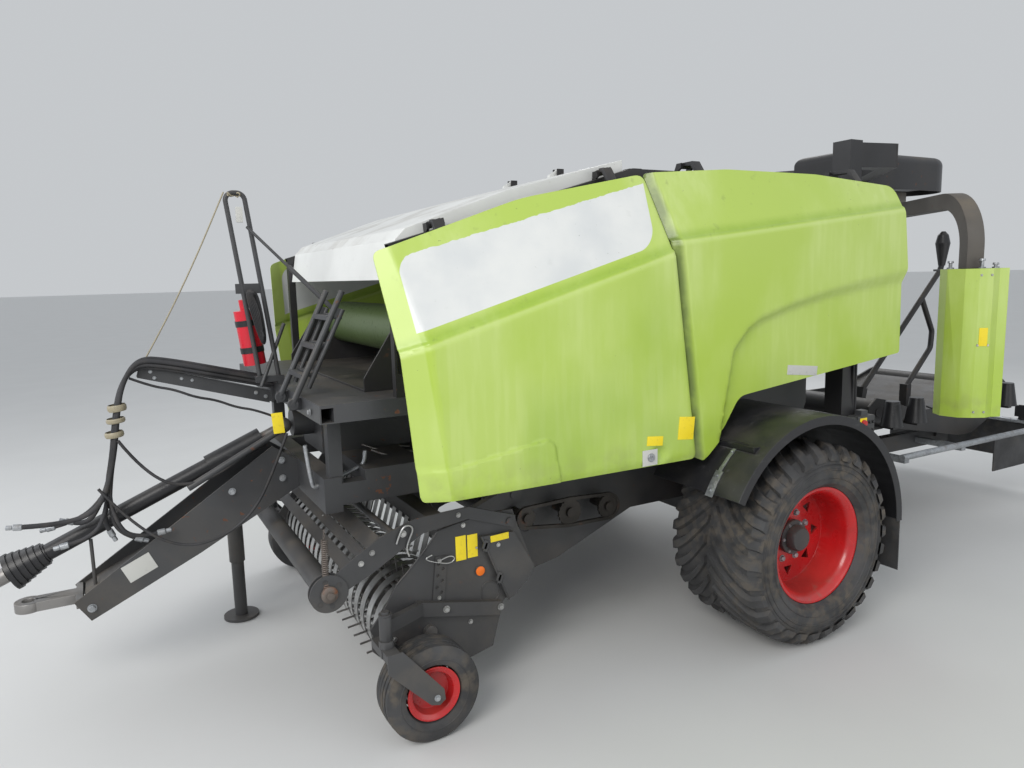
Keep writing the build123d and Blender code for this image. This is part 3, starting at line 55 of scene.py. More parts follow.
# Crease of each kind of side panel: a place on it in x and z, and its rise in degrees
FRONT_CREASE = (-1.970, 1.630, 15.8)
REAR_CREASE = (-0.614, 2.038, 6.2)
# Lean of the seam between the panels, in metres of x for each metre of z
SEAM_LEAN = 0.1363
LATCH_AT = (-0.887, 1.048)

# Colours of the finishes, linear
LIME = (0.40, 0.56, 0.055)
# LIME_PALE serves both the faded patches of the moulding and the painted highlights below the creases and on
# the front strip; LIME_DEEP serves both darker patches and the painted shade on the ledges above the creases
LIME_PALE = (0.60, 0.72, 0.27)
LIME_DEEP = (0.24, 0.40, 0.02)
WHITE = (0.74, 0.75, 0.73)
FRAME_GREY = (0.040, 0.042, 0.046)
BLACK = (0.016, 0.016, 0.018)
RED = (0.56, 0.012, 0.014)
STEEL = (0.30, 0.29, 0.28)
DUST = (0.21, 0.175, 0.13)
RUST = (0.16, 0.055, 0.02)


# Shader maths


class Wire:
    """A shader value that can stand in sums, products and limits."""

    def __init__(self, finish, socket):
        self.finish = finish
        self.socket = socket

    def _math(self, kind, *values):
        return self.finish.node("ShaderNodeMath", {"operation": kind}, dict(enumerate(values)))

    def __add__(self, other):
        return self._math("ADD", self, other)

    def __radd__(self, other):
        return self._math("ADD", other, self)

    def __sub__(self, other):
        return self._math("SUBTRACT", self, other)

    def __rsub__(self, other):
        return self._math("SUBTRACT", other, self)

    def __mul__(self, other):
        return self._math("MULTIPLY", self, other)

    def __rmul__(self, other):
        return self._math("MULTIPLY", other, self)

    def __truediv__(self, other):
        return self._math("DIVIDE", self, other)

    def __neg__(self):
        return self._math("MULTIPLY", self, -1.0)

    def least(self, other):
        return self._math("MINIMUM", self, other)

    def most(self, other):
        return self._math("MAXIMUM", self, other)

    def root(self):
        return self._math("SQRT", self)

    def ramp(self, low, high):
        """0 below low, 1 above high, smooth between them."""
        return self.finish.node(
            "ShaderNodeMapRange",
            {"interpolation_type": "SMOOTHSTEP", "clamp": True},
            {"Value": self, "From Min": low, "From Max": high},
            "Result",
        )


class Finish:
    """The nodes of one material, grown as expressions."""

    def __init__(self, name):
        self.material = bpy.data.materials.new(name)
        self.material.use_nodes = True
        self.tree = self.material.node_tree
        self.shader = self.tree.nodes["Principled BSDF"]
        self.spot = self.node("ShaderNodeTexCoord", {}, {}, "Object")

    def node(self, kind, settings, sockets, result=0):
        """One node: its type, its settings and what its sockets get; gives back one of its results."""
        made = self.tree.nodes.new(kind)
        for key, value in settings.items():
            if key == "stops":
                while len(made.color_ramp.elements) < len(value):
                    made.color_ramp.elements.new(0.5)
                for stop, (place, colour) in zip(made.color_ramp.elements, value):
                    stop.position = place
                    stop.color = (*colour, 1.0)
            else:
                setattr(made, key, value)
        for key, value in sockets.items():
            self.feed(made.inputs[key], value)
        return Wire(self, made.outputs[result])

    def feed(self, socket, value):
        """Links a shader value to a socket, or sets a plain one there."""
        if isinstance(value, Wire):
            self.tree.links.new(value.socket, socket)
        elif hasattr(value, "__len__") and len(value) == 3 and socket.type == "RGBA":
            socket.default_value = (*value, 1.0)
        else:
            socket.default_value = value

    def give(self, **sockets):
        """Sets sockets of the surface shader by name."""
        for key, value in sockets.items():
            self.feed(self.shader.inputs[key.replace("_", " ")], value)
        return self.material

    def scaled(self, stretch):
        return self.node("ShaderNodeVectorMath", {"operation": "MULTIPLY"}, {0: self.spot, 1: stretch})

    def cloud(self, size, detail=3.0, stretch=(1.0, 1.0, 1.0)):
        """Soft noise whose patches are about size metres across."""
        return self.node(
            "ShaderNodeTexNoise", {},
            {"Vector": self.scaled(stretch), "Scale": 1.0 / size, "Detail": detail},
        )

    def axes(self):
        """The place on the object, along x, y and z."""
        split = self.node("ShaderNodeSeparateXYZ", {}, {0: self.spot})
        outs = split.socket.node.outputs
        return Wire(self, outs[0]), Wire(self, outs[1]), Wire(self, outs[2])

    def facing(self):
        """How much the surface looks upwards, from -1 to 1."""
        normal = self.node("ShaderNodeNewGeometry", {}, {}, "Normal")
        split = self.node("ShaderNodeSeparateXYZ", {}, {0: normal})
        return Wire(self, split.socket.node.outputs[2])

    def tint(self, factor, first, second):
        """A colour between two, by a factor."""
        return self.node(
            "ShaderNodeMix", {"data_type": "RGBA"},
            {0: factor, 6: first, 7: second}, 2,
        )

    def bumps(self, height, distance, strength=1.0):
        """A normal that follows a height."""
        return self.node(
            "ShaderNodeBump", {},
            {"Height": height, "Distance": distance, "Strength": strength}, "Normal",
        )


def weathered(finish, colour, rough, dust=0.5, chips=0.5, under=RUST, grain=0.0006):
    """Adds settled dust, grime low down, chips and a fine grain to a colour."""
    low = 1.0 - finish.axes()[2].ramp(0.1, 1.1)
    patch = finish.cloud(0.22, 5.0).ramp(0.42, 0.68)
    fine = finish.cloud(0.018, 6.0)
    settled = finish.facing().ramp(0.25, 0.95)
    grime = (settled * 0.75 + low * 0.45 + 0.12) * (patch * 0.7 + 0.3) * (fine * 0.8 + 0.6)
    grime = (grime * dust).least(0.9)
    shade = finish.tint(grime, colour, DUST)
    nick = finish.cloud(0.035, 8.0).ramp(0.665, 0.70) * finish.cloud(0.45, 2.0).ramp(0.50, 0.62) * chips
    shade = finish.tint(nick, shade, under)
    finish.give(
        Base_Color=shade,
        Roughness=(grime * 0.45 + nick * 0.3 + fine * 0.10 + (rough - 0.05)).least(0.95),
        Normal=finish.bumps(finish.cloud(0.004, 2.0) * 0.5 - nick + grime * fine, grain),
    )
    return finish.material


def painted(name, colour, rough=0.42, dust=0.5, chips=0.5, spread=0.22):
    """Paint with a little uneven tone, dust and chips."""
    finish = Finish(name)
    darker = tuple(c * (1.0 - spread) for c in colour)
    lighter = tuple(min(1.0, c * (1.0 + spread) + 0.004) for c in colour)
    shade = finish.tint(finish.cloud(0.5, 4.0).ramp(0.3, 0.7), darker, lighter)
    return weathered(finish, shade, rough, dust, chips)


def above_crease(x, z, crease):
    """How far a place is straight above a crease."""
    rise = math.tan(math.radians(crease[2]))
    return z - x * rise - (crease[1] - crease[0] * rise)


def painted_crease_light_and_shade(finish, shade, x, z):
    """Painted shade on the ledge above the creases and in the seam between the panels, painted highlights
    just below the creases and on the front strip.
    """
    front = above_crease(x, z, FRONT_CREASE)
    rear = above_crease(x, z, REAR_CREASE)
    seam = x + z * SEAM_LEAN + 0.471
    behind = seam.ramp(-0.002, 0.002)
    above = front * (1.0 - behind) + rear * behind
    patchy = finish.cloud(0.08, 4.0).ramp(0.25, 0.6) * 0.35 + 0.65
    # painted shade on the ledge above each crease, made patchy by a cloud
    ledge = above.ramp(-0.004, 0.006) * (1.0 - above.ramp(0.014, 0.060)) * 0.52 * patchy
    shade = finish.tint(ledge, shade, LIME_DEEP)
    # painted highlight along the rounded top of the lower field, just below each crease
    lit = above.ramp(-0.030, -0.010) * (1.0 - above.ramp(-0.008, 0.000)) * 0.45
    shade = finish.tint(lit, shade, LIME_PALE)
    # painted shade in the groove of the seam, on the rear panel's front bevel
    groove = behind * (1.0 - seam.ramp(0.030, 0.062)) * 0.90 * patchy
    shade = finish.tint(groove, shade, (0.115, 0.165, 0.030))
    # painted light: the forward-facing strip at the front of the front panel is made lighter
    strip = (-x - z * 0.135 - 1.746).ramp(0.0, 0.010) * 0.30
    return finish.tint(strip, shade, LIME_PALE)


def streaked_lime(name, field=None):
    """Sun-bleached lime moulding: upright streaks, pale bloom, and a white field where one is given."""
    finish = Finish(name)
    x, _, z = finish.axes()
    streak = finish.cloud(0.035, 4.0, (1.0, 1.0, 0.10)).ramp(0.40, 0.66)
    bloom = finish.cloud(0.55, 5.0, (1.0, 1.0, 0.6)).ramp(0.40, 0.64)
    high = z.ramp(1.35, 2.15)
    pale = (bloom * 0.30 + streak * bloom * 0.16 + high * 0.22).least(1.0)
    shade = finish.tint(pale, LIME, LIME_PALE)
    deep = finish.cloud(0.7, 2.0).ramp(0.50, 0.72) * (1.0 - high) * 0.40
    shade = finish.tint(deep, shade, LIME_DEEP)
    # painted shade and painted highlights along the creases, the seam and the front strip
    shade = painted_crease_light_and_shade(finish, shade, x, z)
    algae = finish.cloud(0.05, 6.0).ramp(0.62, 0.77) * finish.facing().ramp(0.1, 0.7) * 0.45
    if field:
        edge = field(finish, x, z)
        white = finish.tint(finish.cloud(0.3, 5.0).ramp(0.35, 0.7), WHITE, (0.64, 0.66, 0.66))
        shade = finish.tint(edge, shade, white)
        algae = algae * (1.0 - edge * 0.75)
    shade = finish.tint(algae, shade, (0.10, 0.12, 0.05))
    speck = finish.cloud(0.012, 3.0).ramp(0.735, 0.76) * 0.6
    shade = finish.tint(speck, shade, (0.12, 0.13, 0.07))
    foot = (1.0 - z.ramp(1.0, 1.22)) * finish.cloud(0.09, 6.0).ramp(0.42, 0.7) * 0.22
    shade = finish.tint(foot, shade, DUST)
    scratch = finish.cloud(0.012, 2.0, (0.25, 1.0, 1.0)).ramp(0.70, 0.73)
    scratch = scratch * finish.cloud(0.3, 2.0).ramp(0.5, 0.6)
    relief = finish.cloud(0.16, 2.0) * 3.0 + finish.cloud(0.006, 2.0) * 0.15 + scratch * 0.1
    finish.give(
        Base_Color=shade,
        Roughness=finish.cloud(0.4, 4.0) * 0.22 + 0.26 + algae * 0.3,
        Normal=finish.bumps(relief, 0.0010),
        Coat_Weight=0.25,
        Coat_Roughness=0.22,
    )
    return finish.material


def round_corner(first, second, radius):
    """Distance inside two edges that meet in a rounded corner."""
    a, b = (radius - first).most(0.0), (radius - second).most(0.0)
    return radius - (a * a + b * b).root()


def white_field(finish, x, z):
    """Mask of the white field on the front panels, by half planes with rounded corners."""
    above = above_crease(x, z, FRONT_CREASE)
    wave = finish.cloud(0.03, 4.0) * 0.016 - 0.008
    lower = above - 0.052
    upper = 0.352 - (x + 1.97) * 0.016 - above + wave
    front = x + 1.985 + (above - 0.05) * 0.10
    rear = -0.83 - x + above * 0.085
    inner = lower.least(upper).least(front).least(rear)
    inner = inner.least(round_corner(lower, rear, 0.090)).least(round_corner(upper, front, 0.070))
    return inner.ramp(0.0, 0.0025)


def bare_metal(name, colour, rough=0.42, stain=0.5, stretch=(1.0, 1.0, 1.0), metallic=0.85):
    """Unpainted metal with dull patches, rust and dust."""
    finish = Finish(name)
    grain = finish.cloud(0.010, 4.0, stretch)
    patch = finish.cloud(0.16, 5.0)
    tone = finish.tint(patch.ramp(0.35, 0.65), tuple(c * 0.62 for c in colour), colour)
    rust = finish.cloud(0.05, 7.0).ramp(0.56, 0.70) * finish.cloud(0.3, 3.0).ramp(0.42, 0.62)
    rust = (rust * stain).least(1.0)
    tone = finish.tint(rust, tone, RUST)
    dust = finish.facing().ramp(0.3, 1.0) * finish.cloud(0.09, 5.0).ramp(0.35, 0.7) * 0.35
    tone = finish.tint(dust, tone, DUST)
    finish.give(
        Base_Color=tone,
        Metallic=(metallic - rust * 0.8 - dust * 0.7).most(0.0),
        Roughness=(grain * 0.25 + rough - 0.08 + rust * 0.35 + dust * 0.3).least(0.95),
        Normal=finish.bumps(grain + rust * 2.0, 0.0004),
    )
    return finish.material


def zinc_plate(name):
    """Galvanised steel with its flower pattern and dull patches."""
    finish = Finish(name)
    flower = finish.node("ShaderNodeTexVoronoi", {}, {"Vector": finish.spot, "Scale": 90.0}, "Color")
    tone = finish.node("ShaderNodeSeparateColor", {}, {0: flower}, 0)
    wash = finish.cloud(0.12, 5.0).ramp(0.35, 0.68)
    shade = finish.tint(tone * 0.5 + wash * 0.5, (0.26, 0.27, 0.28), (0.50, 0.52, 0.54))
    mud = finish.cloud(0.07, 6.0).ramp(0.52, 0.72) * (finish.facing().ramp(-0.2, 0.9) * 0.5 + 0.25)
    shade = finish.tint(mud * 0.8, shade, (0.14, 0.115, 0.085))
    finish.give(
        Base_Color=shade,
        Metallic=(0.75 - mud).most(0.0),
        Roughness=tone * 0.12 + mud * 0.3 + 0.36,
        Normal=finish.bumps(tone * 0.3 + mud + finish.cloud(0.01, 4.0), 0.0005),
    )
    return finish.material


def rubber(name, muddy=0.6, tone=(0.030, 0.030, 0.031)):
    """Faded rubber with dried mud."""
    finish = Finish(name)
    dirt = finish.cloud(0.05, 7.0)
    mud = (dirt.ramp(0.40, 0.66) * finish.cloud(0.30, 3.0).ramp(0.30, 0.66) * muddy).least(0.9)
    shade = finish.tint(finish.cloud(0.18, 4.0).ramp(0.35, 0.7), tone, tuple(c * 1.9 + 0.004 for c in tone))
    shade = finish.tint(mud, shade, (0.125, 0.105, 0.082))
    finish.give(
        Base_Color=shade,
        Roughness=0.62 + mud * 0.3 + finish.cloud(0.02, 3.0) * 0.1,
        Normal=finish.bumps(finish.cloud(0.006, 5.0) + mud * 3.0, 0.0008),
    )
    return finish.material


def moulded(name, tone=BLACK, dust=0.5, rough=0.5):
    """Black moulded plastic with a fine leather grain, scuffs and dust."""
    finish = Finish(name)
    grain = finish.node("ShaderNodeTexVoronoi", {}, {"Vector": finish.spot, "Scale": 420.0}, "Distance")
    scuff = finish.cloud(0.03, 6.0, (0.3, 1.0, 1.0)).ramp(0.60, 0.75) * finish.cloud(0.3, 3.0).ramp(0.4, 0.65)
    settled = finish.facing().ramp(0.1, 0.95) * finish.cloud(0.14, 6.0).ramp(0.34, 0.7) * dust
    shade = finish.tint(scuff * 0.4, tone, (0.085, 0.085, 0.088))
    shade = finish.tint(settled.least(0.8), shade, (0.13, 0.115, 0.095))
    finish.give(
        Base_Color=shade,
        Roughness=(settled * 0.35 + scuff * 0.15 + rough).least(0.95),
        Normal=finish.bumps(grain * 0.4 + scuff, 0.0005),
    )
    return finish.material


def red_gloss(name, tone=RED, dust=0.25):
    """Glossy red enamel under a film of dust."""
    finish = Finish(name)
    mud = (finish.cloud(0.05, 6.0).ramp(0.52, 0.72) * finish.cloud(0.3, 2.0).ramp(0.4, 0.7) * dust).least(0.8)
    film = finish.facing().ramp(0.2, 1.0) * dust * 0.6
    shade = finish.tint(finish.cloud(0.2, 3.0).ramp(0.3, 0.7), tone, tuple(c * 0.72 for c in tone))
    shade = finish.tint((mud + film).least(0.8), shade, DUST)
    finish.give(
        Base_Color=shade,
        Roughness=0.24 + mud * 0.5 + film * 0.4 + finish.cloud(0.05, 3.0) * 0.08,
        Normal=finish.bumps(finish.cloud(0.05, 3.0) + mud * 0.6, 0.0005),
        Coat_Weight=0.35,
        Coat_Roughness=0.12,
    )
    return finish.material


def plain_plate(name, tone):
    """A blank plate or sticker: flat colour with a worn, faded face."""
    finish = Finish(name)
    patchy = finish.cloud(0.02, 6.0).ramp(0.55, 0.75)
    shade = finish.tint(patchy * 0.35, tone, tuple(0.5 * c + 0.06 for c in tone))
    finish.give(Base_Color=shade, Roughness=0.42 + patchy * 0.3, Normal=finish.bumps(patchy, 0.0002))
    return finish.material


def floor_finish(name):
    """A pale, even floor."""
    finish = Finish(name)
    fleck = finish.cloud(0.8, 4.0)
    finish.give(
        Base_Color=finish.tint(fleck, (0.60, 0.60, 0.59), (0.66, 0.66, 0.65)),
        Roughness=0.75 + fleck * 0.1,
    )
    return finish.material


LOOKS = {}


def make_finishes():
    """Makes every finish once and keeps it by its look."""
    LOOKS.update(
        lime=streaked_lime("lime_moulding"),
        lime_field=streaked_lime("lime_with_white_field", white_field),
        white=painted("white_moulding", WHITE, 0.40, 0.45, 0.25, 0.06),
        grey=painted("frame_grey_paint", FRAME_GREY, 0.46, 0.42, 0.7),
        black=painted("black_paint", BLACK, 0.40, 0.42, 0.5),
        arm=painted("worn_arm_paint", (0.10, 0.092, 0.082), 0.62, 0.9, 0.5),
        plastic=moulded("black_moulding", dust=0.2, rough=0.36),
        tyre=rubber("tyre_rubber", 0.75),
        rubber=rubber("sheet_rubber", 0.35),
        hose=rubber("hose_rubber", 0.22, tone=(0.018, 0.018, 0.020)),
        red=red_gloss("red_wheel_enamel"),
        fire_red=red_gloss("red_bottle_enamel", (0.62, 0.012, 0.030), 0.12),
        zinc=zinc_plate("galvanised_steel"),
        steel=bare_metal("worn_steel", STEEL),
        oily=bare_metal("oily_steel", (0.055, 0.050, 0.045), 0.38, 0.6, metallic=0.7),
        bright=bare_metal("bright_steel", (0.55, 0.55, 0.54), 0.28, 0.15),
        rusty=bare_metal("rusty_steel", (0.20, 0.17, 0.15), 0.60, 1.0, metallic=0.5),
        yellow=plain_plate("blank_yellow_plate", (0.90, 0.70, 0.015)),
        pale=plain_plate("blank_pale_plate", (0.55, 0.55, 0.52)),
        orange=plain_plate("orange_reflector", (0.85, 0.17, 0.004)),
        lamp_red=plain_plate("red_lens", (0.42, 0.008, 0.006)),
        net=plain_plate("green_net", (0.075, 0.115, 0.035)),
        straw=plain_plate("faded_twine", (0.33, 0.29, 0.20)),
    )


CAD_LOOKS = {
    "lime": ("film_guards", "rear_panel_left", "rear_panel_right"),
    "lime_field": ("front_panel_left", "front_panel_right"),
    "white": ("front_hood",),
    "grey": (
        "axle", "chassis", "tailgate", "platform", "gearbox", "drawbar", "jack_leg", "jack_sleeve",
        "pickup_frame", "wind_guard", "crop_roller", "feed_rotor", "control_box", "hose_beam", "ladder",
        "tube_stand", "castor_left", "castor_right",
    ),
    "black": (
        "roof_frame", "net_box", "wrap_portal", "film_units", "wrap_table", "table_roller_front",
        "table_roller_rear", "guide_bow",
    ),
    "arm": ("wrap_rotor",),
    "plastic": ("fenders", "shaft_guard", "guide_cones", "rear_lamps"),
    "tyre": ("tyre_left", "tyre_right", "gauge_tyre_left", "gauge_tyre_right"),
    "rubber": ("mudflaps", "side_skirts", "drop_mat"),
    "red": ("rim_left", "rim_right", "gauge_rim_left", "gauge_rim_right"),
    "fire_red": ("extinguisher",),
    "zinc": ("guard_rail",),
    "steel": ("chamber_rollers", "gate_rollers", "pickup_reel", "drive_shaft", "coupling_eye"),
    "oily": ("drive_sprockets", "drive_chain"),
    "bright": ("stripper_bands",),
    "net": ("net_roll",),
}


# Edge radius of the CAD pieces whose sharp edges are rounded, in metres
SOFT_EDGES = {
    "front_hood": 0.004, "drawbar": 0.002, "pickup_frame": 0.0015, "wind_guard": 0.0015, "fenders": 0.0025,
    "wrap_rotor": 0.003, "platform": 0.002, "chassis": 0.002, "control_box": 0.006,
    "hose_beam": 0.003, "net_box": 0.002, "wrap_table": 0.002, "film_guards": 0.001, "jack_sleeve": 0.002,
    "castor_left": 0.002, "castor_right": 0.002, "rim_left": 0.002, "rim_right": 0.002,
    "gauge_rim_left": 0.002, "gauge_rim_right": 0.002, "rear_lamps": 0.003, "ladder": 0.0015,
    "guard_rail": 0.002, "roof_frame": 0.002, "coupling_eye": 0.003, "tailgate": 0.002, "film_units": 0.002,
}


# Mesh helpers


def link(name, mesh, body, look):
    """Adds a mesh or curve to the scene, with its look, riding its body."""
    piece = bpy.data.objects.new(name, mesh)
    bpy.context.scene.collection.objects.link(piece)
    mesh.materials.append(LOOKS[look])
    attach(piece, body)
    return piece


def from_bmesh(name, shape, body, look, smooth=35.0):
    """Turns a bmesh into a piece; edges flatter than smooth degrees are shaded round."""
    bmesh.ops.remove_doubles(shape, verts=shape.verts, dist=1e-6)
    bmesh.ops.recalc_face_normals(shape, faces=shape.faces)
    limit = math.radians(smooth)
    for face in shape.faces:
        face.smooth = True
    for edge in shape.edges:
        edge.smooth = len(edge.link_faces) == 2 and edge.calc_face_angle(0.0) < limit
    mesh = bpy.data.meshes.new(name)
    shape.to_mesh(mesh)
    shape.free()
    return link(name, mesh, body, look)


def way(axis):
    """Turn that carries +Z onto an axis."""
    return Vector(axis).normalized().to_track_quat("Z", "Y").to_matrix().to_4x4()


def add_ring(shape, profile, centre, axis, steps=48):
    """Turns a profile of (distance along the axis, radius) about an axis."""
    turn = Matrix.Translation(centre) @ way(axis)
    rings = []
    for index in range(steps):
        angle = 2.0 * math.pi * index / steps
        ring = []
        for reach, radius in profile:
            spot = Vector((radius * math.cos(angle), radius * math.sin(angle), reach))
            ring.append(shape.verts.new(turn @ spot))
        rings.append(ring)
    for index in range(steps):
        first, second = rings[index], rings[(index + 1) % steps]
        for place in range(len(profile) - 1):
            corners = [first[place], second[place], second[place + 1], first[place + 1]]
            shape.faces.new(corners)


def add_box(shape, centre, size, turn=None, chamfer=0.0):
    """A block, turned about its middle, with its edges broken."""
    made = bmesh.ops.create_cube(shape, size=1.0)["verts"]
    bmesh.ops.scale(shape, vec=size, verts=made)
    if chamfer:
        edges = list({edge for vert in made for edge in vert.link_edges})
        made = bmesh.ops.bevel(
            shape, geom=edges, offset=chamfer, segments=2, profile=0.7, affect="EDGES",
        )["verts"]
    matrix = Matrix.Translation(centre) @ (turn or Matrix.Identity(4))
    bmesh.ops.transform(shape, matrix=matrix, verts=made)


def add_sheet(shape, outline, level, thick, plane="XZ", chamfer=0.0):
    """A plate with an outline in one plane, its middle at a level on the third axis."""
    made = []
    for along in (-thick / 2, thick / 2):
        for first, second in outline:
            if plane == "XZ":
                made.append(shape.verts.new((first, level + along, second)))
            elif plane == "YZ":
                made.append(shape.verts.new((level + along, first, second)))
            else:
                made.append(shape.verts.new((first, second, level + along)))
    count = len(outline)
    faces = [shape.faces.new(made[:count]), shape.faces.new(made[count:][::-1])]
    for index in range(count):
        after = (index + 1) % count
        faces.append(shape.faces.new((made[index], made[after], made[after + count], made[index + count])))
    if chamfer:
        edges = list({edge for face in faces[:2] for edge in face.edges})
        bmesh.ops.bevel(shape, geom=edges, offset=chamfer, segments=2, profile=0.7, affect="EDGES")


def turned(name, look, body, items):
    """A piece of turned parts: the profile of each, its middle, its axis and its number of steps."""
    shape = bmesh.new()
    for profile, middle, axis, steps in items:
        add_ring(shape, profile, middle, axis, steps)
    return from_bmesh(name, shape, body, look)


def block(name, look, middle, size, chamfer):
    """A small upright block on the frame."""
    shape = bmesh.new()
    add_box(shape, middle, size, None, chamfer)
    return from_bmesh(name, shape, "frame", look)


def add_bolt(shape, spot, axis, size):
    """A hexagon head with a washer, standing on a face."""
    turn = Matrix.Translation(spot) @ way(axis)
    ring = [(0.0, size * 1.25), (size * 0.18, size * 1.25), (size * 0.18, size * 0.6)]
    add_ring(shape, ring, spot, axis, 14)
    lower, upper, crown = [], [], []
    for index in range(6):
        angle = math.radians(60 * index + 10)
        rows = ((lower, 0.0, size), (upper, size * 0.8, size), (crown, size * 0.95, size * 0.85))
        for row, reach, radius in rows:
            corner = Vector((radius * math.cos(angle), radius * math.sin(angle), reach))
            row.append(shape.verts.new(turn @ corner))
    for index in range(6):
        after = (index + 1) % 6
        shape.faces.new((lower[index], lower[after], upper[after], upper[index]))
        shape.faces.new((upper[index], upper[after], crown[after], crown[index]))
    shape.faces.new(crown)


def bolts(name, body, spots, look="zinc"):
    """Many bolt heads on one body: each is a place, the way it points, and its size."""
    shape = bmesh.new()
    for spot, axis, size in spots:
        add_bolt(shape, spot, axis, size)
    return from_bmesh(name, shape, body, look, 25.0)


def face_turn(facing, roll=0.0):
    """A turn whose Z is the way a face points and whose Y leans as far up as it can."""
    out = Vector(facing).normalized()
    up = Vector((0, 0, 1)) - out * out.z
    up = up.normalized() if up.length > 0.01 else Vector((1, 0, 0))
    basis = Matrix((up.cross(out), up, out)).transposed().to_4x4()
    return basis @ Matrix.Rotation(math.radians(roll), 4, "Z")


def plates(name, look, body, items, thick=0.002):
    """Thin blank plates on one body: middle, the way each faces, width, height and roll in degrees."""
    shape = bmesh.new()
    for middle, facing, width, height, roll in items:
        add_box(shape, middle, (width, height, thick), face_turn(facing, roll), thick * 0.3)
    return from_bmesh(name, shape, body, look)


def tube(name, points, radius, body, look, steps=8, closed=False):
    """A smooth round line through its control points."""
    line = bpy.data.curves.new(name, "CURVE")
    line.dimensions = "3D"
    line.bevel_depth = radius
    line.bevel_resolution = 3
    line.resolution_u = steps
    line.use_fill_caps = True
    spline = line.splines.new("NURBS")
    spline.points.add(len(points) - 1)
    for place, point in enumerate(points):
        spline.points[place].co = (*point, 1.0)
    spline.order_u = 3
    spline.use_endpoint_u = not closed
    spline.use_cyclic_u = closed
    return link(name, line, body, look)


def rods(name, runs, body, look, steps=16):
    """Straight round bars joined in one piece: start, end and radius of each."""
    shape = bmesh.new()
    for start, end, radius in runs:
        start, end = Vector(start), Vector(end)
        length = (end - start).length
        edge = min(radius * 0.25, 0.003)
        profile = [
            (0.0, 0.0001), (0.0, radius - edge), (edge, radius),
            (length - edge, radius), (length, radius - edge), (length, 0.0001),
        ]
        add_ring(shape, profile, start, end - start, steps)
    return from_bmesh(name, shape, body, look)


def soften(piece, width):
    """Joins the mesh of a CAD piece and rounds its sharp edges a little."""
    weld = piece.modifiers.new("weld", "WELD")
    weld.merge_threshold = 0.00002
    bevel = piece.modifiers.new("bevel", "BEVEL")
    bevel.width = width
    bevel.segments = 2
    bevel.limit_method = "ANGLE"
    bevel.angle_limit = math.radians(38)
    bevel.harden_normals = True


# Sizes that a user would change


class BalerPanels(bpy.types.PropertyGroup):
    """Sizes of the moulded side panels."""

    step: bpy.props.FloatProperty(
        name="Mesh step", description="Spacing of the panels' mesh", default=0.016, unit="LENGTH",
    )
    ledge: bpy.props.FloatProperty(
        name="Ledge", description="Depth of the ledge above the crease", default=0.018, unit="LENGTH",
    )
    patch: bpy.props.FloatProperty(
        name="Patch", description="Height of the raised patch at the foot", default=0.008, unit="LENGTH",
    )


class BalerTyres(bpy.types.PropertyGroup):
    """Tread of the main tyres."""

    bars: bpy.props.IntProperty(
        name="Bars", description="Tread bars on each half of a main tyre", default=30, min=8,
    )
    depth: bpy.props.FloatProperty(
        name="Tread depth", description="Height of the bars", default=0.020, unit="LENGTH",
    )


class BalerStage(bpy.types.PropertyGroup):
    """Camera and lights."""

    lens: bpy.props.FloatProperty(
        name="Lens", description="Focal length of the camera", default=26.44, unit="CAMERA",
    )
    light: bpy.props.FloatProperty(
        name="Light", description="Strength of all the lights", default=1.0, min=0.0,
    )


class BALER_OT_finishes(bpy.types.Operator):
    """Gives every CAD piece its weathered finish"""

    bl_idname = "baler.finishes"
    bl_label = "Finishes"

    def execute(self, context):
        make_finishes()
        for look, nodes in CAD_LOOKS.items():
            for node in nodes:
                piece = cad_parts[node]
                piece.data.materials.clear()
                piece.data.materials.append(LOOKS[look])
                if node in SOFT_EDGES:
                    soften(piece, SOFT_EDGES[node])
        return {"FINISHED"}


# Moulded side panels


def crease_height(x, z, crease):
    """Distance square to a crease, positive above it."""
    rise = math.radians(crease[2])
    return ((z - crease[1]) - (x - crease[0]) * math.tan(rise)) * math.cos(rise)


def soft(value, low, high):
    """Smooth step from 0 to 1."""
    t = max(0.0, min(1.0, (value - low) / (high - low)))
    return t * t * (3.0 - 2.0 * t)


def soft_ramp(value, width):
    """0 below zero, value above it, rounded over a width."""
    if value <= -width:
        return 0.0
    if value >= width:
        return value
    return (value + width) ** 2 / (4.0 * width)


def inside(point, outline):
    """Distance to an outline, positive inside it."""
    best = 1e9
    within = False
    px, pz = point
    for index, (ax, az) in enumerate(outline):
        bx, bz = outline[index - 1]
        if (az > pz) != (bz > pz) and px < (bx - ax) * (pz - az) / (bz - az) + ax:
            within = not within
        ex, ez = bx - ax, bz - az
        t = max(0.0, min(1.0, ((px - ax) * ex + (pz - az) * ez) / (ex * ex + ez * ez)))
        best = min(best, math.hypot(px - ax - t * ex, pz - az - t * ez))
    return best if within else -best


def rounded(outline, radii, steps=5):
    """An outline with its corners rounded, each by its own radius."""
    points = []
    count = len(outline)
    for index, radius in enumerate(radii):
        corner = Vector(outline[index])
        before = (Vector(outline[index - 1]) - corner)
        after = (Vector(outline[(index + 1) % count]) - corner)
        if radius <= 0.0:
            points.append(tuple(corner))
            continue
        half = before.angle(after) / 2.0
        reach = min(radius / math.tan(half), before.length * 0.48, after.length * 0.48)
        start = corner + before.normalized() * reach
        end = corner + after.normalized() * reach
        for place in range(steps + 1):
            t = place / steps
            points.append(tuple(start * (1 - t) ** 2 + corner * 2 * t * (1 - t) + end * t ** 2))
    return points


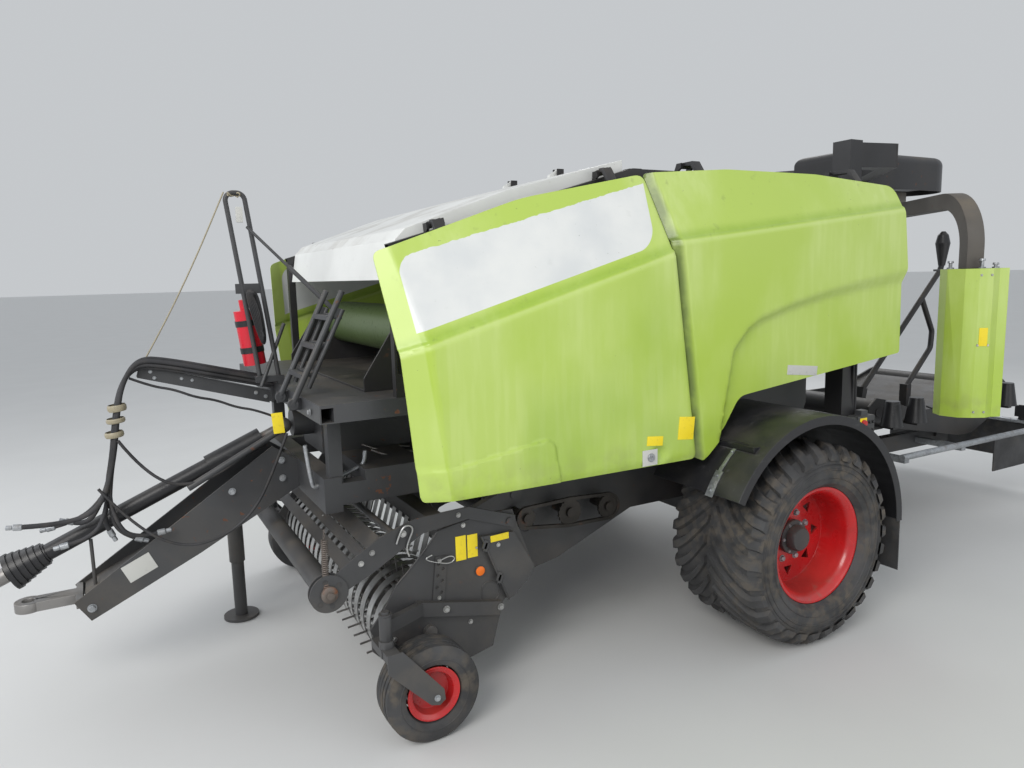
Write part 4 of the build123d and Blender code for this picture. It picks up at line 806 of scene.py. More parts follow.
def moulded_panel(name, outline, depth, cuts, side, step, body, look, thick=0.006):
    """A curved panel: its outline is cut into a grid and along its folds, and pushed out to depth(x, z)."""
    shape = bmesh.new()
    shape.faces.new([shape.verts.new((x, 0.0, z)) for x, z in outline])
    planes = [(Vector((x, 0, z)), Vector((nx, 0, nz))) for x, z, nx, nz in cuts]
    for axis in (0, 1):
        low, high = min(p[axis] for p in outline), max(p[axis] for p in outline)
        count = int((high - low) / step)
        normal = Vector((1, 0, 0)) if axis == 0 else Vector((0, 0, 1))
        planes += [(normal * (low + (high - low) * index / count), normal) for index in range(1, count)]
    for spot, normal in planes:
        geometry = shape.verts[:] + shape.edges[:] + shape.faces[:]
        bmesh.ops.bisect_plane(shape, geom=geometry, plane_co=spot, plane_no=normal)
    for vert in shape.verts:
        vert.co.y = side * depth(vert.co.x, vert.co.z)
    bmesh.ops.recalc_face_normals(shape, faces=shape.faces)
    if sum(f.normal.y * f.calc_area() for f in shape.faces) * side < 0:
        bmesh.ops.reverse_faces(shape, faces=shape.faces)
    back = bmesh.ops.duplicate(shape, geom=shape.faces[:])["geom"]
    back_faces = [g for g in back if isinstance(g, bmesh.types.BMFace)]
    back_verts = {v for f in back_faces for v in f.verts}
    for vert in back_verts:
        vert.co.y -= side * thick
    bmesh.ops.reverse_faces(shape, faces=back_faces)
    borders = [e for e in shape.edges if len(e.link_faces) == 1]
    bmesh.ops.bridge_loops(shape, edges=borders)
    for each in shape.faces:
        each.smooth = True
    for edge in shape.edges:
        edge.smooth = edge.calc_face_angle(0.0) < math.radians(50)
    mesh = bpy.data.meshes.new(name)
    shape.to_mesh(mesh)
    shape.free()
    return link(name, mesh, body, look)


# Outlines in x and z: of the panels, of the patch on the front one, of the pressing in the rear one
FRONT_OUTLINE = (
    (-1.990, 1.010), (-0.608, 1.003), (-0.790, 2.338), (-1.430, 2.215), (-2.090, 1.994), (-2.000, 1.034),
)
REAR_OUTLINE = (
    (-0.596, 1.003), (-0.560, 0.985), (-0.400, 1.125), (-0.300, 1.270), (0.943, 1.398),
    (0.932, 1.890), (0.872, 2.323), (0.300, 2.372), (-0.295, 2.376), (-0.778, 2.342),
)
FRONT_PATCH = (
    (-2.30, 1.140), (-1.884, 1.142), (-1.436, 1.210), (-1.400, 1.18), (-1.347, 0.90), (-2.30, 0.90),
)
REAR_PRESSING = (
    (-0.470, 0.88), (-0.461, 1.075), (-0.372, 1.507), (-0.275, 1.608), (-0.195, 1.652), (0.049, 1.722),
    (0.293, 1.773), (0.620, 1.826), (0.934, 1.864), (1.15, 1.89), (1.15, 0.88),
)


def crease_cuts(crease, heights):
    """Lines beside a crease, at distances square to it."""
    rise = math.radians(crease[2])
    normal = (-math.sin(rise), math.cos(rise))
    return [(crease[0] + normal[0] * h, crease[1] + normal[1] * h, *normal) for h in heights]


def edge_cuts(outline, width):
    """Lines along each edge of an outline and a width inside it, so that a pressing gets crisp edges."""
    cuts = []
    for (x, z), (next_x, next_z) in zip(outline, outline[1:]):
        reach = math.hypot(next_x - x, next_z - z)
        normal = ((next_z - z) / reach, (x - next_x) / reach)
        cuts += [(x + normal[0] * shift, z + normal[1] * shift, *normal) for shift in (0.0, width)]
    return cuts


def crease_depth(height, ledge):
    """Outer face of a panel at a height above its crease: a rounded ledge, then a field that leans in."""
    if height < 0.0:
        return 1.200 - 0.006 * soft(height, -0.026, 0.0)
    return 1.194 - (ledge - 0.006) * soft(height, 0.0, 0.014) - 0.448 * max(0.0, height - 0.006)


def front_depth(sizes):
    """How far out the front panel stands, as a function of x and z."""
    def depth(x, z):
        out = crease_depth(crease_height(x, z, FRONT_CREASE), sizes.ledge)
        edge = -1.880 - (z - 0.96) * 0.0912 if z < 1.63 else -1.944 - (z - 1.64) * 0.225
        out -= 0.47 * soft_ramp(edge - x, 0.010)
        out += sizes.patch * max(0.0, min(1.0, inside((x, z), FRONT_PATCH) / 0.010))
        away = math.hypot((x - LATCH_AT[0] - 0.055) * 0.9, z - LATCH_AT[1] - 0.006)
        out -= 0.022 * (1.0 - soft(away, 0.018, 0.046))
        rear = -0.608 - (z - 1.003) * SEAM_LEAN
        out -= 0.5 * soft_ramp(x - rear + 0.012, 0.006)
        out -= 0.40 * soft_ramp(1.028 - z, 0.008)
        return out
    return depth


def rear_depth(sizes):
    """How far out the rear panel stands, as a function of x and z."""
    def depth(x, z):
        out = crease_depth(crease_height(x, z, REAR_CREASE), sizes.ledge)
        width = 0.022 + 0.050 * max(0.0, min(1.0, (x + 0.28) / 1.2))
        out -= 0.036 * max(0.0, min(1.0, inside((x, z), REAR_PRESSING) / width))
        front = -0.552 - (z - 0.96) * 0.1327 if z < 2.04 else -0.696 - (z - 2.046) * 0.138
        out -= 0.90 * soft_ramp(front - x, 0.005)
        out -= 0.35 * soft_ramp(1.010 - z, 0.008)
        return out
    return depth


def leaning_cuts(x, z, lean, shifts):
    """Near-upright lines through a place, each moved along x."""
    return [(x + shift, z, 1.0, lean) for shift in shifts]


# Lines that the panels' meshes follow: a place in x and z and the normal there
CREASE_STEPS = (-0.026, -0.013, 0.0, 0.007, 0.014)
FRONT_CUTS = (
    crease_cuts(FRONT_CREASE, CREASE_STEPS)
    + leaning_cuts(-1.880, 0.96, 0.0912, (-0.010, 0.010))
    + leaning_cuts(-1.944, 1.64, 0.225, (-0.010, 0.010))
    + leaning_cuts(-0.608, 1.003, SEAM_LEAN, (-0.018, -0.006))
    + edge_cuts(FRONT_PATCH[1:5], 0.010)
)
REAR_CUTS = crease_cuts(REAR_CREASE, CREASE_STEPS) + leaning_cuts(-0.552, 0.96, 0.1327, (-0.005, 0.005))


class BALER_OT_panels(bpy.types.Operator):
    """Builds the moulded side panels with their creases, ledges and patches"""

    bl_idname = "baler.panels"
    bl_label = "Side panels"

    def execute(self, context):
        sizes = context.scene.baler_panels
        front = rounded(FRONT_OUTLINE, (0.03, 0.03, 0.05, 1.2, 0.04, 0.02))
        rear = rounded(REAR_OUTLINE, (0.01, 0.01, 0.12, 0.10, 0.02, 0.3, 0.07, 0.6, 0.6, 0.02))
        for name, side in SIDES:
            piece = moulded_panel(
                "front_moulding_" + name, front, front_depth(sizes), FRONT_CUTS, side, sizes.step,
                "panel_front_" + name, "lime_field",
            )
            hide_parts("front_panel_" + name)
            piece = moulded_panel(
                "rear_moulding_" + name, rear, rear_depth(sizes), REAR_CUTS, side, sizes.step,
                "panel_rear_" + name, "lime",
            )
            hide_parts("rear_panel_" + name)
        return {"FINISHED"}


# Tyres


def on_side(place, side):
    """A place given for the right side, on either side."""
    return Vector((place[0], side * place[1], place[2]))


class BALER_OT_tyres(bpy.types.Operator):
    """Builds the treaded main tyres and the ribbed gauge tyres"""

    bl_idname = "baler.tyres"
    bl_label = "Tyres"

    def execute(self, context):
        sizes = context.scene.baler_tyres
        for name, side in SIDES:
            self.main_tyre(name, side, sizes)
            self.gauge_tyre(name, side)
        return {"FINISHED"}

    def main_tyre(self, name, side, sizes):
        """A tyre with two rows of bars that meet in the middle."""
        centre = on_side(WHEEL, side)
        outer, half = WHEEL[2] - sizes.depth, 0.290
        profile = [
            (-half + 0.040, 0.300), (-half + 0.012, 0.322), (-half + 0.002, 0.352), (-half, 0.385),
            (-half + 0.004, 0.425), (-half + 0.018, 0.462), (-half + 0.045, outer - 0.010),
            (-half + 0.10, outer - 0.004), (-half + 0.18, outer), (0.0, outer + 0.001),
        ]
        profile += [(-w, r) for w, r in profile[-2::-1]]
        shape = bmesh.new()
        add_ring(shape, profile, centre, (0, 1, 0), 120)
        for groove, ring in ((0.352, 0.004), (0.420, 0.003)):
            for end in (-1, 1):
                level = end * (half + 0.0005)
                foot = level - end * 0.004
                line = [(foot, groove - ring), (level + end * 0.0015, groove), (foot, groove + ring)]
                add_ring(shape, line, centre, (0, 1, 0), 96)
        turn = Matrix.Translation(centre) @ way((0, 1, 0))
        for end in (-1, 1):
            for index in range(sizes.bars):
                start = 2.0 * math.pi * (index + (0.5 if end > 0 else 0.0)) / sizes.bars
                self.add_bar(shape, turn, start, end, outer, half, sizes.depth)
        piece = from_bmesh("main_tread_" + name, shape, "wheel_" + name, "tyre", 32.0)
        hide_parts("tyre_" + name)

    def add_bar(self, shape, turn, start, end, outer, half, depth):
        """One curved bar that sweeps from the middle out over the shoulder."""
        stations = 9
        rows = []
        for place in range(stations):
            t = place / (stations - 1)
            across = end * (0.012 + (half + 0.002 - 0.012) * t)
            sweep = 0.42 * (1.0 - (1.0 - t) ** 1.7)
            width = 0.026 + 0.010 * t
            if t < 0.80:
                base, top = outer - 0.006, outer + depth
            else:
                fall = (t - 0.80) / 0.20
                base = outer - 0.010 - 0.045 * fall
                top = outer + depth - 0.018 * fall - 0.030 * fall ** 2
            angle = start - sweep
            row = []
            for shift, radius in ((-width, base), (-width * 0.62, top), (width * 0.62, top), (width, base)):
                spin = angle + shift / outer
                corner = Vector((radius * math.cos(spin), radius * math.sin(spin), across))
                row.append(shape.verts.new(turn @ corner))
            rows.append(row)
        for first, second in zip(rows, rows[1:]):
            for place in range(3):
                shape.faces.new((first[place], first[place + 1], second[place + 1], second[place]))
        shape.faces.new(rows[0])
        shape.faces.new(rows[-1][::-1])

    def gauge_tyre(self, name, side):
        """A small tyre with five ribs round it."""
        centre = on_side(GAUGE, side)
        half, outer = 0.080, GAUGE[2]
        wall = [
            (-0.052, 0.118), (-0.068, 0.124), (-0.078, 0.142), (-half, 0.160), (-0.077, 0.180),
            (-0.069, 0.194),
        ]
        tread = []
        ribs = 5
        for rib in range(ribs):
            left = -0.066 + 0.132 * rib / ribs
            right = -0.066 + 0.132 * (rib + 1) / ribs - 0.006
            crown = outer - 0.9 * ((left + right) / 2) ** 2
            tread += [(left + 0.0005, crown), (right, crown)]
            if rib < ribs - 1:
                tread += [(right + 0.001, crown - 0.007), (right + 0.005, crown - 0.007)]
        profile = wall + tread + [(-w, r) for w, r in wall[::-1]]
        shape = bmesh.new()
        add_ring(shape, profile, centre, (0, 1, 0), 72)
        for level in (-1, 1):
            line = [(level * 0.0785, 0.148), (level * 0.0815, 0.151), (level * 0.0790, 0.154)]
            add_ring(shape, line, centre, (0, 1, 0), 72)
        piece = from_bmesh("gauge_tread_" + name, shape, "gauge_" + name, "tyre", 32.0)
        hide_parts("gauge_tyre_" + name)


# Plates and bolt heads, all listed by the body that carries them

YELLOW_PLATES = {
    # body: middle, the way it faces, width, height, roll
    "pickup": (
        ((-1.735, -0.9315, 0.702), OUT, 0.050, 0.112, 0), ((-1.678, -0.9315, 0.702), OUT, 0.050, 0.106, 0),
        ((-1.552, -0.9545, 0.724), OUT, 0.092, 0.030, 2),
        ((-1.735, 0.9315, 0.702), (0, 1, 0), 0.050, 0.112, 0),
    ),
    "frame": (
        ((-2.341, -0.213, 1.222), (-0.3, -1, 0), 0.052, 0.100, 4),
        ((-1.973, -0.932, 1.595), OUT, 0.036, 0.190, 0),
    ),
}
PALE_PLATES = {
    "frame": (((-2.985, -0.1265, 0.610), OUT, 0.130, 0.085, 24),),
    "panel_front_left": (((-0.893, -1.2015, 1.048), OUT, 0.086, 0.074, 0),),
}
PANEL_PLATES = {
    # kind of panel: x, z, width, height
    "front": ((-0.676, 1.160, 0.094, 0.108), (-0.863, 1.122, 0.092, 0.044)),
    "rear": ((0.145, 1.362, 0.225, 0.050),),
}
BOLTS = {
    # name: body, look, then place, the way it points and size
    "pickup_bolts": ("pickup", "bright", (
        ((-1.560, -0.961, 0.398), OUT, 0.013), ((-1.828, -0.961, 0.452), OUT, 0.013),
        ((-1.842, -0.937, 0.668), OUT, 0.008), ((-1.850, -0.937, 0.500), OUT, 0.008),
        ((-1.560, -0.954, 0.690), OUT, 0.008), ((-1.660, -0.931, 0.690), OUT, 0.006),
        ((-1.540, -0.931, 0.800), OUT, 0.009), ((-1.720, -0.931, 0.805), OUT, 0.009),
        ((-1.700, -0.931, 0.350), OUT, 0.009), ((-1.930, -0.931, 0.300), OUT, 0.009),
        ((-1.900, -0.931, 0.220), OUT, 0.009), ((-2.060, -0.931, 0.360), OUT, 0.009),
        ((-1.560, 0.961, 0.398), (0, 1, 0), 0.013), ((-1.828, 0.961, 0.452), (0, 1, 0), 0.013),
    )),
    "guard_bolts": ("wind_guard", "bright", (
        ((-2.145, -0.950, 0.771), OUT, 0.010), ((-2.194, -0.950, 0.734), OUT, 0.010),
        ((-2.007, -0.950, 0.826), OUT, 0.012), ((-1.750, -0.950, 0.862), OUT, 0.009),
        ((-2.145, 0.950, 0.771), (0, 1, 0), 0.010), ((-2.194, 0.950, 0.734), (0, 1, 0), 0.010),
        ((-2.150, -0.2, 0.726), (-0.56, 0, 0.83), 0.006), ((-2.150, 0.4, 0.726), (-0.56, 0, 0.83), 0.006),
    )),
    "front_bolts": ("frame", "zinc", (
        ((-3.189, -0.126, 0.464), OUT, 0.016), ((-2.560, -0.126, 0.900), OUT, 0.014),
        ((-2.320, -0.126, 1.020), OUT, 0.014), ((-2.320, -0.126, 0.930), OUT, 0.014),
        ((-2.860, -0.0305, 1.495), OUT, 0.007), ((-2.845, -0.0305, 1.465), OUT, 0.007),
        ((-2.730, -0.0305, 1.452), OUT, 0.006), ((-2.685, -0.0305, 1.440), OUT, 0.006),
        ((-2.400, -0.0305, 1.353), OUT, 0.008), ((-2.355, -0.0305, 1.330), OUT, 0.008),
        ((-2.326, -0.300, 1.360), (-1, 0, 0), 0.011), ((-2.326, 0.300, 1.360), (-1, 0, 0), 0.011),
        ((-2.326, -0.800, 1.360), (-1, 0, 0), 0.011), ((-2.326, 0.800, 1.360), (-1, 0, 0), 0.011),
    )),
}


class BALER_OT_plates(bpy.types.Operator):
    """Adds the blank plates and the bolt heads"""

    bl_idname = "baler.plates"
    bl_label = "Plates and bolts"

    def execute(self, context):
        for look, groups in (("yellow", YELLOW_PLATES), ("pale", PALE_PLATES)):
            for body, items in groups.items():
                plates(f"{look}_plates_{body}", look, body, items)
        sizes = context.scene.baler_panels
        kinds = (("front", "yellow", front_depth(sizes)), ("rear", "pale", rear_depth(sizes)))
        for name, side in SIDES:
            for kind, look, depth in kinds:
                items = [
                    ((x, side * (depth(x, z) + 0.001), z), (0, side, 0), width, height, side * 6)
                    for x, z, width, height in PANEL_PLATES[kind]
                ]
                plates(f"{look}_plates_{kind}_{name}", look, f"panel_{kind}_{name}", items)
        for name, (body, look, spots) in BOLTS.items():
            bolts(name, body, spots, look)
        self.reflectors()
        return {"FINISHED"}

    def reflectors(self):
        """Orange discs on the pickup and red lenses on the rear lamps."""
        disc = ((0.0, 0.0215), (0.003, 0.0215), (0.005, 0.018), (0.0055, 0.0001))
        turned("pickup_reflectors", "orange", "pickup", [
            (disc, (-1.646, side * 0.937, 0.579), (0, side, 0), 32) for _, side in SIDES
        ])
        shape = bmesh.new()
        for _, side in SIDES:
            for y in (-0.052, 0.052):
                add_box(shape, (3.6045, side * 0.560 + y, 0.669), (0.006, 0.088, 0.072), None, 0.002)
        from_bmesh("lamp_lenses", shape, "frame", "lamp_red")


# Wheels: hub caps, studs and the rings of the sidewalls

DISC_FACE = 1.245
HUB_CAP = (
    (0.0, 0.090), (0.020, 0.090), (0.024, 0.086), (0.024, 0.068), (0.060, 0.064), (0.070, 0.056),
    (0.072, 0.0001),
)
GAUGE_HUB = ((0.0, 0.030), (0.012, 0.030), (0.016, 0.024), (0.016, 0.0001))


def sidewall(radius):
    """How far the sidewall of a main tyre stands from its middle plane."""
    return 0.2955 - 0.05 * abs(radius - 0.385) / 0.10


def circle_of(count, radius, first, rise):
    """Places round the y axis, on a circle that stands a rise out along it."""
    spots = []
    for index in range(count):
        angle = math.radians(360 / count * index + first)
        spots.append(Vector((radius * math.cos(angle), rise, radius * math.sin(angle))))
    return spots


class BALER_OT_wheels(bpy.types.Operator):
    """Adds hub caps, studs and raised rings to the wheels"""

    bl_idname = "baler.wheels"
    bl_label = "Wheel fittings"

    def execute(self, context):
        for name, side in SIDES:
            body = "wheel_" + name
            hub = Vector((WHEEL[0], side * DISC_FACE, WHEEL[2]))
            turned("hub_cap_" + name, "grey", body, ((HUB_CAP, hub, (0, side, 0), 48),))
            studs = [(hub + spot, (0, side, 0), 0.015) for spot in circle_of(8, 0.125, 22.5, side * -0.014)]
            studs += [(hub + spot, (0, side, 0), 0.007) for spot in circle_of(6, 0.078, 0.0, side * 0.024)]
            bolts("wheel_studs_" + name, body, studs, "zinc")
            gauge = on_side((GAUGE[0], GAUGE[1] - 0.056, GAUGE[2]), side)
            turned("gauge_hub_" + name, "grey", "gauge_" + name, ((GAUGE_HUB, gauge, (0, -side, 0), 32),))
            beads = []
            for radius in (0.330, 0.395, 0.440):
                bead = (
                    (-0.002, radius - 0.005), (0.003, radius - 0.002),
                    (0.003, radius + 0.002), (-0.002, radius + 0.005),
                )
                for face in (-1, 1):
                    middle = on_side((WHEEL[0], WHEEL[1] + face * side * sidewall(radius), WHEEL[2]), side)
                    beads.append((bead, middle, (0, face, 0), 96))
            turned("sidewall_rings_" + name, "tyre", body, beads)
        return {"FINISHED"}


# Pickup: castor arms, clips, hinges, spring and wires

CASTOR_ARM = (
    (-2.185, 0.440), (-2.121, 0.440), (-1.953, 0.236), (-1.949, 0.190), (-1.975, 0.172), (-2.012, 0.182),
    (-2.185, 0.362),
)
STRAP_CLIP = (
    (-1.846, -0.948, 0.672), (-1.800, -0.950, 0.690), (-1.770, -0.952, 0.672), (-1.795, -0.950, 0.650),
    (-1.850, -0.948, 0.664), (-1.900, -0.950, 0.684), (-1.914, -0.952, 0.700), (-1.880, -0.950, 0.706),
)
GUARD_HOOK = (
    (-2.040, -0.956, 0.790), (-2.020, -0.962, 0.850), (-1.990, -0.964, 0.868), (-1.962, -0.962, 0.845),
    (-1.985, -0.960, 0.800), (-2.000, -0.958, 0.755), (-1.985, -0.956, 0.725),
)
PRESSED_RING = (
    (-1.640, -0.9305, 0.425), (-1.600, -0.9305, 0.410), (-1.560, -0.9305, 0.425), (-1.545, -0.9305, 0.466),
    (-1.560, -0.9305, 0.505), (-1.600, -0.9305, 0.520), (-1.640, -0.9305, 0.505),
)
FOLDED_EDGE = ((-2.040, -0.931, 0.600), (-1.902, -0.931, 0.722), (-1.845, -0.931, 0.800))
# A thin dark disc: painted shade where a hole in the roller's disc shows
HOLE_SHADE_DISC = ((0.0, 0.011), (0.0012, 0.011), (0.0012, 0.0001))
ROLLER_BEARING = (
    (0.0, 0.034), (0.012, 0.034), (0.016, 0.028), (0.016, 0.014), (0.030, 0.014), (0.030, 0.0001),
)


def spring(name, start, end, radius, turns, wire, body, look):
    """A coil spring between two places."""
    start, end = Vector(start), Vector(end)
    ahead = (end - start).normalized()
    first = ahead.orthogonal().normalized()
    second = ahead.cross(first)
    count = turns * 8
    points = []
    for index in range(count + 1):
        angle = 2 * math.pi * turns * index / count
        along = start.lerp(end, index / count)
        points.append(along + (first * math.cos(angle) + second * math.sin(angle)) * radius)
    return tube(name, points, wire, body, look, 2)


def chain(name, start, end, links, body, look):
    """Round chain links, each turned a quarter from the last."""
    start, end = Vector(start), Vector(end)
    ahead = (end - start).normalized()
    first = ahead.orthogonal().normalized()
    second = ahead.cross(first)
    pitch = (end - start).length / links
    for index in range(links):
        middle = start.lerp(end, (index + 0.5) / links)
        across = first if index % 2 else second
        half, width = pitch * 0.68, pitch * 0.34
        corners = ((-half, -width), (half, -width), (half, width), (-half, width))
        points = [middle + ahead * a + across * b for a, b in corners]
        tube(f"{name}_{index}", points, pitch * 0.13, body, look, 5, True)


class BALER_OT_pickup(bpy.types.Operator):
    """Adds the clips, hinges, spring and wires of the pickup"""

    bl_idname = "baler.pickup"
    bl_label = "Pickup fittings"

    def castor_arm(self, name, side):
        """The outer arm of a castor, from its stem down to the end of the wheel's pin."""
        level = side * (GAUGE[1] + 0.095)
        body = "castor_" + name
        shape = bmesh.new()
        add_sheet(shape, CASTOR_ARM, level, 0.008, chamfer=0.0015)
        add_box(shape, (-2.153, side * (GAUGE[1] + 0.058), 0.412), (0.058, 0.070, 0.034), None, 0.003)
        from_bmesh("castor_arm_" + name, shape, body, "grey")
        head = (GAUGE[0], level + side * 0.004, GAUGE[2])
        bolts("castor_bolt_" + name, body, [(head, (0, side, 0), 0.011)])

    def execute(self, context):
        for name, side in SIDES:
            self.castor_arm(name, side)
        tube("strap_clip", STRAP_CLIP, 0.0028, "pickup", "bright")
        tube("guard_hook", GUARD_HOOK, 0.004, "wind_guard", "bright")
        tube("pressed_ring", PRESSED_RING, 0.003, "pickup", "grey", 8, True)
        tube("folded_edge", FOLDED_EDGE, 0.004, "pickup", "grey", 4)
        shape = bmesh.new()
        lean = Matrix.Rotation(math.radians(21.6), 4, "Y")
        for t in (0.12, 0.16, 0.62, 0.66):
            middle = (-1.642 + 0.129 * t, -0.957, 0.744 - 0.326 * t)
            add_box(shape, middle, (0.022, 0.006, 0.040), lean, 0.001)
        from_bmesh("cover_hinges", shape, "pickup", "grey")
        start, end = (-2.322, -0.880, 0.840), (-2.345, -0.958, 0.652)
        spring("guard_spring", start, end, 0.013, 26, 0.0028, "wind_guard", "rusty")
        chain("guard_chain", (-2.318, -0.868, 0.878), start, 4, "wind_guard", "rusty")
        # dark discs of painted shade stand in for the holes in the crop roller's disc
        holes = ((-2.347, 0.690), (-2.324, 0.585), (-2.372, 0.600), (-2.290, 0.668))
        turned("roller_hole_shades", "rubber", "crop_roller", [
            (HOLE_SHADE_DISC, (x, -0.9582, z), OUT, 20) for x, z in holes
        ])
        bearing = (ROLLER_BEARING, (-2.334, -0.958, 0.638), OUT, 32)
        turned("roller_bearing", "rusty", "crop_roller", (bearing,))
        return {"FINISHED"}


# Hoses, cables, straps and stays at the front

# The bundle in x and z, and the loose end of each of its hoses
HOSE_ROUTE = (
    (-2.30, 1.395), (-2.55, 1.462), (-2.80, 1.530), (-2.915, 1.545), (-2.985, 1.450), (-3.018, 1.300),
    (-3.040, 1.150), (-3.070, 1.020),
)
HOSE_ENDS = (
    ((-3.112, 0.923), (-3.172, 0.830), (-3.225, 0.850)), ((-3.100, 0.940), (-3.200, 0.850), (-3.300, 0.836)),
    ((-3.080, 0.900), (-3.060, 0.780), (-2.990, 0.745)), ((-3.110, 0.930), (-3.230, 0.870), (-3.410, 0.890)),
    ((-3.070, 0.880), (-3.010, 0.760), (-2.900, 0.770)), ((-3.095, 0.900), (-3.150, 0.790), (-3.250, 0.775)),
    ((-3.085, 0.930), (-3.110, 0.850), (-3.090, 0.800)),
)
LOOSE_CABLE = (
    (-2.320, -0.300, 1.186), (-2.400, -0.320, 1.010), (-2.500, -0.330, 0.840), (-2.640, -0.300, 0.735),
    (-2.814, -0.260, 0.709), (-2.996, -0.200, 0.833), (-3.116, -0.120, 1.000),
)
SECOND_CABLE = (
    (-3.020, -0.08, 1.200), (-2.900, -0.14, 1.000), (-2.700, -0.16, 0.960), (-2.480, -0.15, 1.080),
    (-2.300, -0.15, 1.190),
)
BENT_ROD = (
    (-2.287, -0.50, 1.160), (-2.270, -0.50, 0.975), (-2.250, -0.50, 0.955), (-2.040, -0.50, 1.025),
    (-2.015, -0.50, 1.045), (-2.012, -0.50, 1.100),
)
BOTTLE_BAND = ((-0.014, 0.0525), (-0.014, 0.0545), (0.014, 0.0545), (0.014, 0.0525))


def hang(start, end, drop, count=5):
    """Points of a line that hangs between two places."""
    start, end = Vector(start), Vector(end)
    points = []
    for index in range(count + 1):
        t = index / count
        points.append(start.lerp(end, t) - Vector((0, 0, drop * 4 * t * (1 - t))))
    return points


class BALER_OT_front(bpy.types.Operator):
    """Adds the hoses, cables, straps and stays at the front"""

    bl_idname = "baler.front"
    bl_label = "Hoses and stays"

    def execute(self, context):
        self.bundle()
        self.stays()
        self.extinguisher()
        return {"FINISHED"}

    def bundle(self):
        """The hoses with their ends, and the cables and stay beside them."""
        for index, tail in enumerate(HOSE_ENDS):
            angle = 2 * math.pi * index / len(HOSE_ENDS)
            reach = 0.021 if index else 0.0
            aside, rise = reach * math.cos(angle), reach * math.sin(angle)
            points = [(x + rise * 0.5, -0.045 + aside, z + rise) for x, z in HOSE_ROUTE]
            points += [(x, -0.060 + aside * 3.0 - 0.012 * index, z) for x, z in tail]
            tube(f"hose_{index}", points, 0.0085 if index % 3 else 0.011, "frame", "hose")
            (before_x, before_z), (x, z) = tail[-2:]
            ahead = Vector((x - before_x, 0.0, z - before_z)).normalized()
            start = Vector(points[-1])
            middle, end = start + ahead * 0.035, start + ahead * 0.060
            rods(f"hose_end_{index}", ((start, middle, 0.014), (middle, end, 0.010)), "frame", "zinc")
        ties = []
        for z, x, height in ((1.345, -3.010, 0.030), (1.288, -3.020, 0.022), (1.225, -3.031, 0.026)):
            ring = ((-height / 2, 0.036), (-height / 4, 0.040), (height / 4, 0.040), (height / 2, 0.036))
            ties.append((ring, (x, -0.045, z), (0.09, 0, -1), 24))
        turned("hose_ties", "straw", "frame", ties)
        under = [(-2.95 + 0.09 * i, -0.055, 1.475 - 0.034 * i - 0.012 * (i % 2)) for i in range(8)]
        tube("cable_under_beam", under, 0.006, "frame", "hose")
        tube("loose_cable", LOOSE_CABLE, 0.0065, "frame", "hose")
        tube("second_cable", SECOND_CABLE, 0.007, "frame", "hose")
        rods("shaft_stay", (((-2.754, -0.150, 0.952), (-2.300, -0.150, 1.185), 0.016),), "frame", "grey")

    def stays(self):
        """String, struts and fittings of the tube stand, the bent rod and the needle wires."""
        string = hang((-2.497, -0.150, 2.300), (-2.890, -0.020, 1.530), 0.03)
        tube("beam_string", string, 0.0035, "frame", "straw")
        twine = []
        for i in range(14):
            x, y, z = 0.030 * math.cos(0.9 * i), 0.022 * math.sin(1.7 * i), 0.012 * math.sin(2.3 * i)
            twine.append((-2.455 + x, -0.150 + y, 2.290 + z))
        tube("stand_twine", twine, 0.0035, "frame", "straw")
        rods("stand_strut", (
            ((-2.410, -0.165, 2.145), (-2.250, -0.240, 1.960), 0.007),
            ((-2.250, -0.240, 1.960), (-2.060, -0.330, 1.740), 0.011),
        ), "frame", "grey")
        rods("stand_brace", (((-2.262, -0.120, 1.690), (-2.400, -0.185, 1.400), 0.009),), "frame", "grey")
        block("stand_strap", "grey", (-2.424, -0.158, 1.862), (0.110, 0.004, 0.046), 0.001)
        block("stand_fitting", "pale", (-2.436, -0.150, 2.200), (0.030, 0.020, 0.070), 0.004)
        tube("bent_rod", BENT_ROD, 0.010, "frame", "zinc", 6)
        for index in range(5):
            y = -0.34 + 0.15 * index
            wire = ((-1.93, y, 1.06), (-1.80, y - 0.1, 1.00), (-1.62, y - 0.16, 0.985))
            tube(f"needle_wire_{index}", wire, 0.006, "frame", "steel")

    def extinguisher(self):
        """Straps of the extinguisher and the cable hank beside it."""
        turned("bottle_straps", "plastic", "frame", [
            (BOTTLE_BAND, (-2.396 - 0.1159 * (z - 1.435), -0.0867, z), (-0.115, 0.0, 1.0), 40)
            for z in (1.572, 1.700)
        ])
        for index in range(6):
            spread = 0.004 * index
            loop = (
                (-2.440 + spread, -0.190 - spread, 1.850),
                (-2.410, -0.200 - spread, 1.860 - spread),
                (-2.382 - spread, -0.190, 1.820),
                (-2.360 - spread * 2, -0.180, 1.640 + 0.012 * index),
                (-2.372, -0.185 - spread, 1.590 + 0.01 * index),
                (-2.396 + spread, -0.192, 1.640),
                (-2.425 + spread * 2, -0.195, 1.760),
            )
            tube(f"cable_hank_{index}", loop, 0.0042, "frame", "hose", 8, True)


# Hinges of the side panels, latches, and the straps of the fenders

PANEL_HINGES = (
    # kind, stations along X, slope of the hinge line, which is 2.400 high at x = -0.780
    ("front", (-1.800, -0.950), math.tan(math.radians(FRONT_CREASE[2]))),
    ("rear", (-0.450, 0.620), 0.0),
)
HINGE_EYE = ((-0.030, 0.0088), (-0.030, 0.015), (0.030, 0.015), (0.030, 0.0088))
LOCK = ((-0.010, 0.020), (0.003, 0.020), (0.005, 0.018), (0.005, 0.008), (0.002, 0.007), (0.002, 0.0001))
# Middle of the fender's arch in x and z, and where across it the strap runs
ARCH = (-0.025, 0.545)
STRAP_Y = 1.265
# Degrees round the arch from the rear, and the width of the strap from there on
STRAP_RUN = ((129.0, 0.020), (134.0, 0.020), (139.5, 0.022), (141.5, 0.046), (147.0, 0.046), (153.0, 0.040))


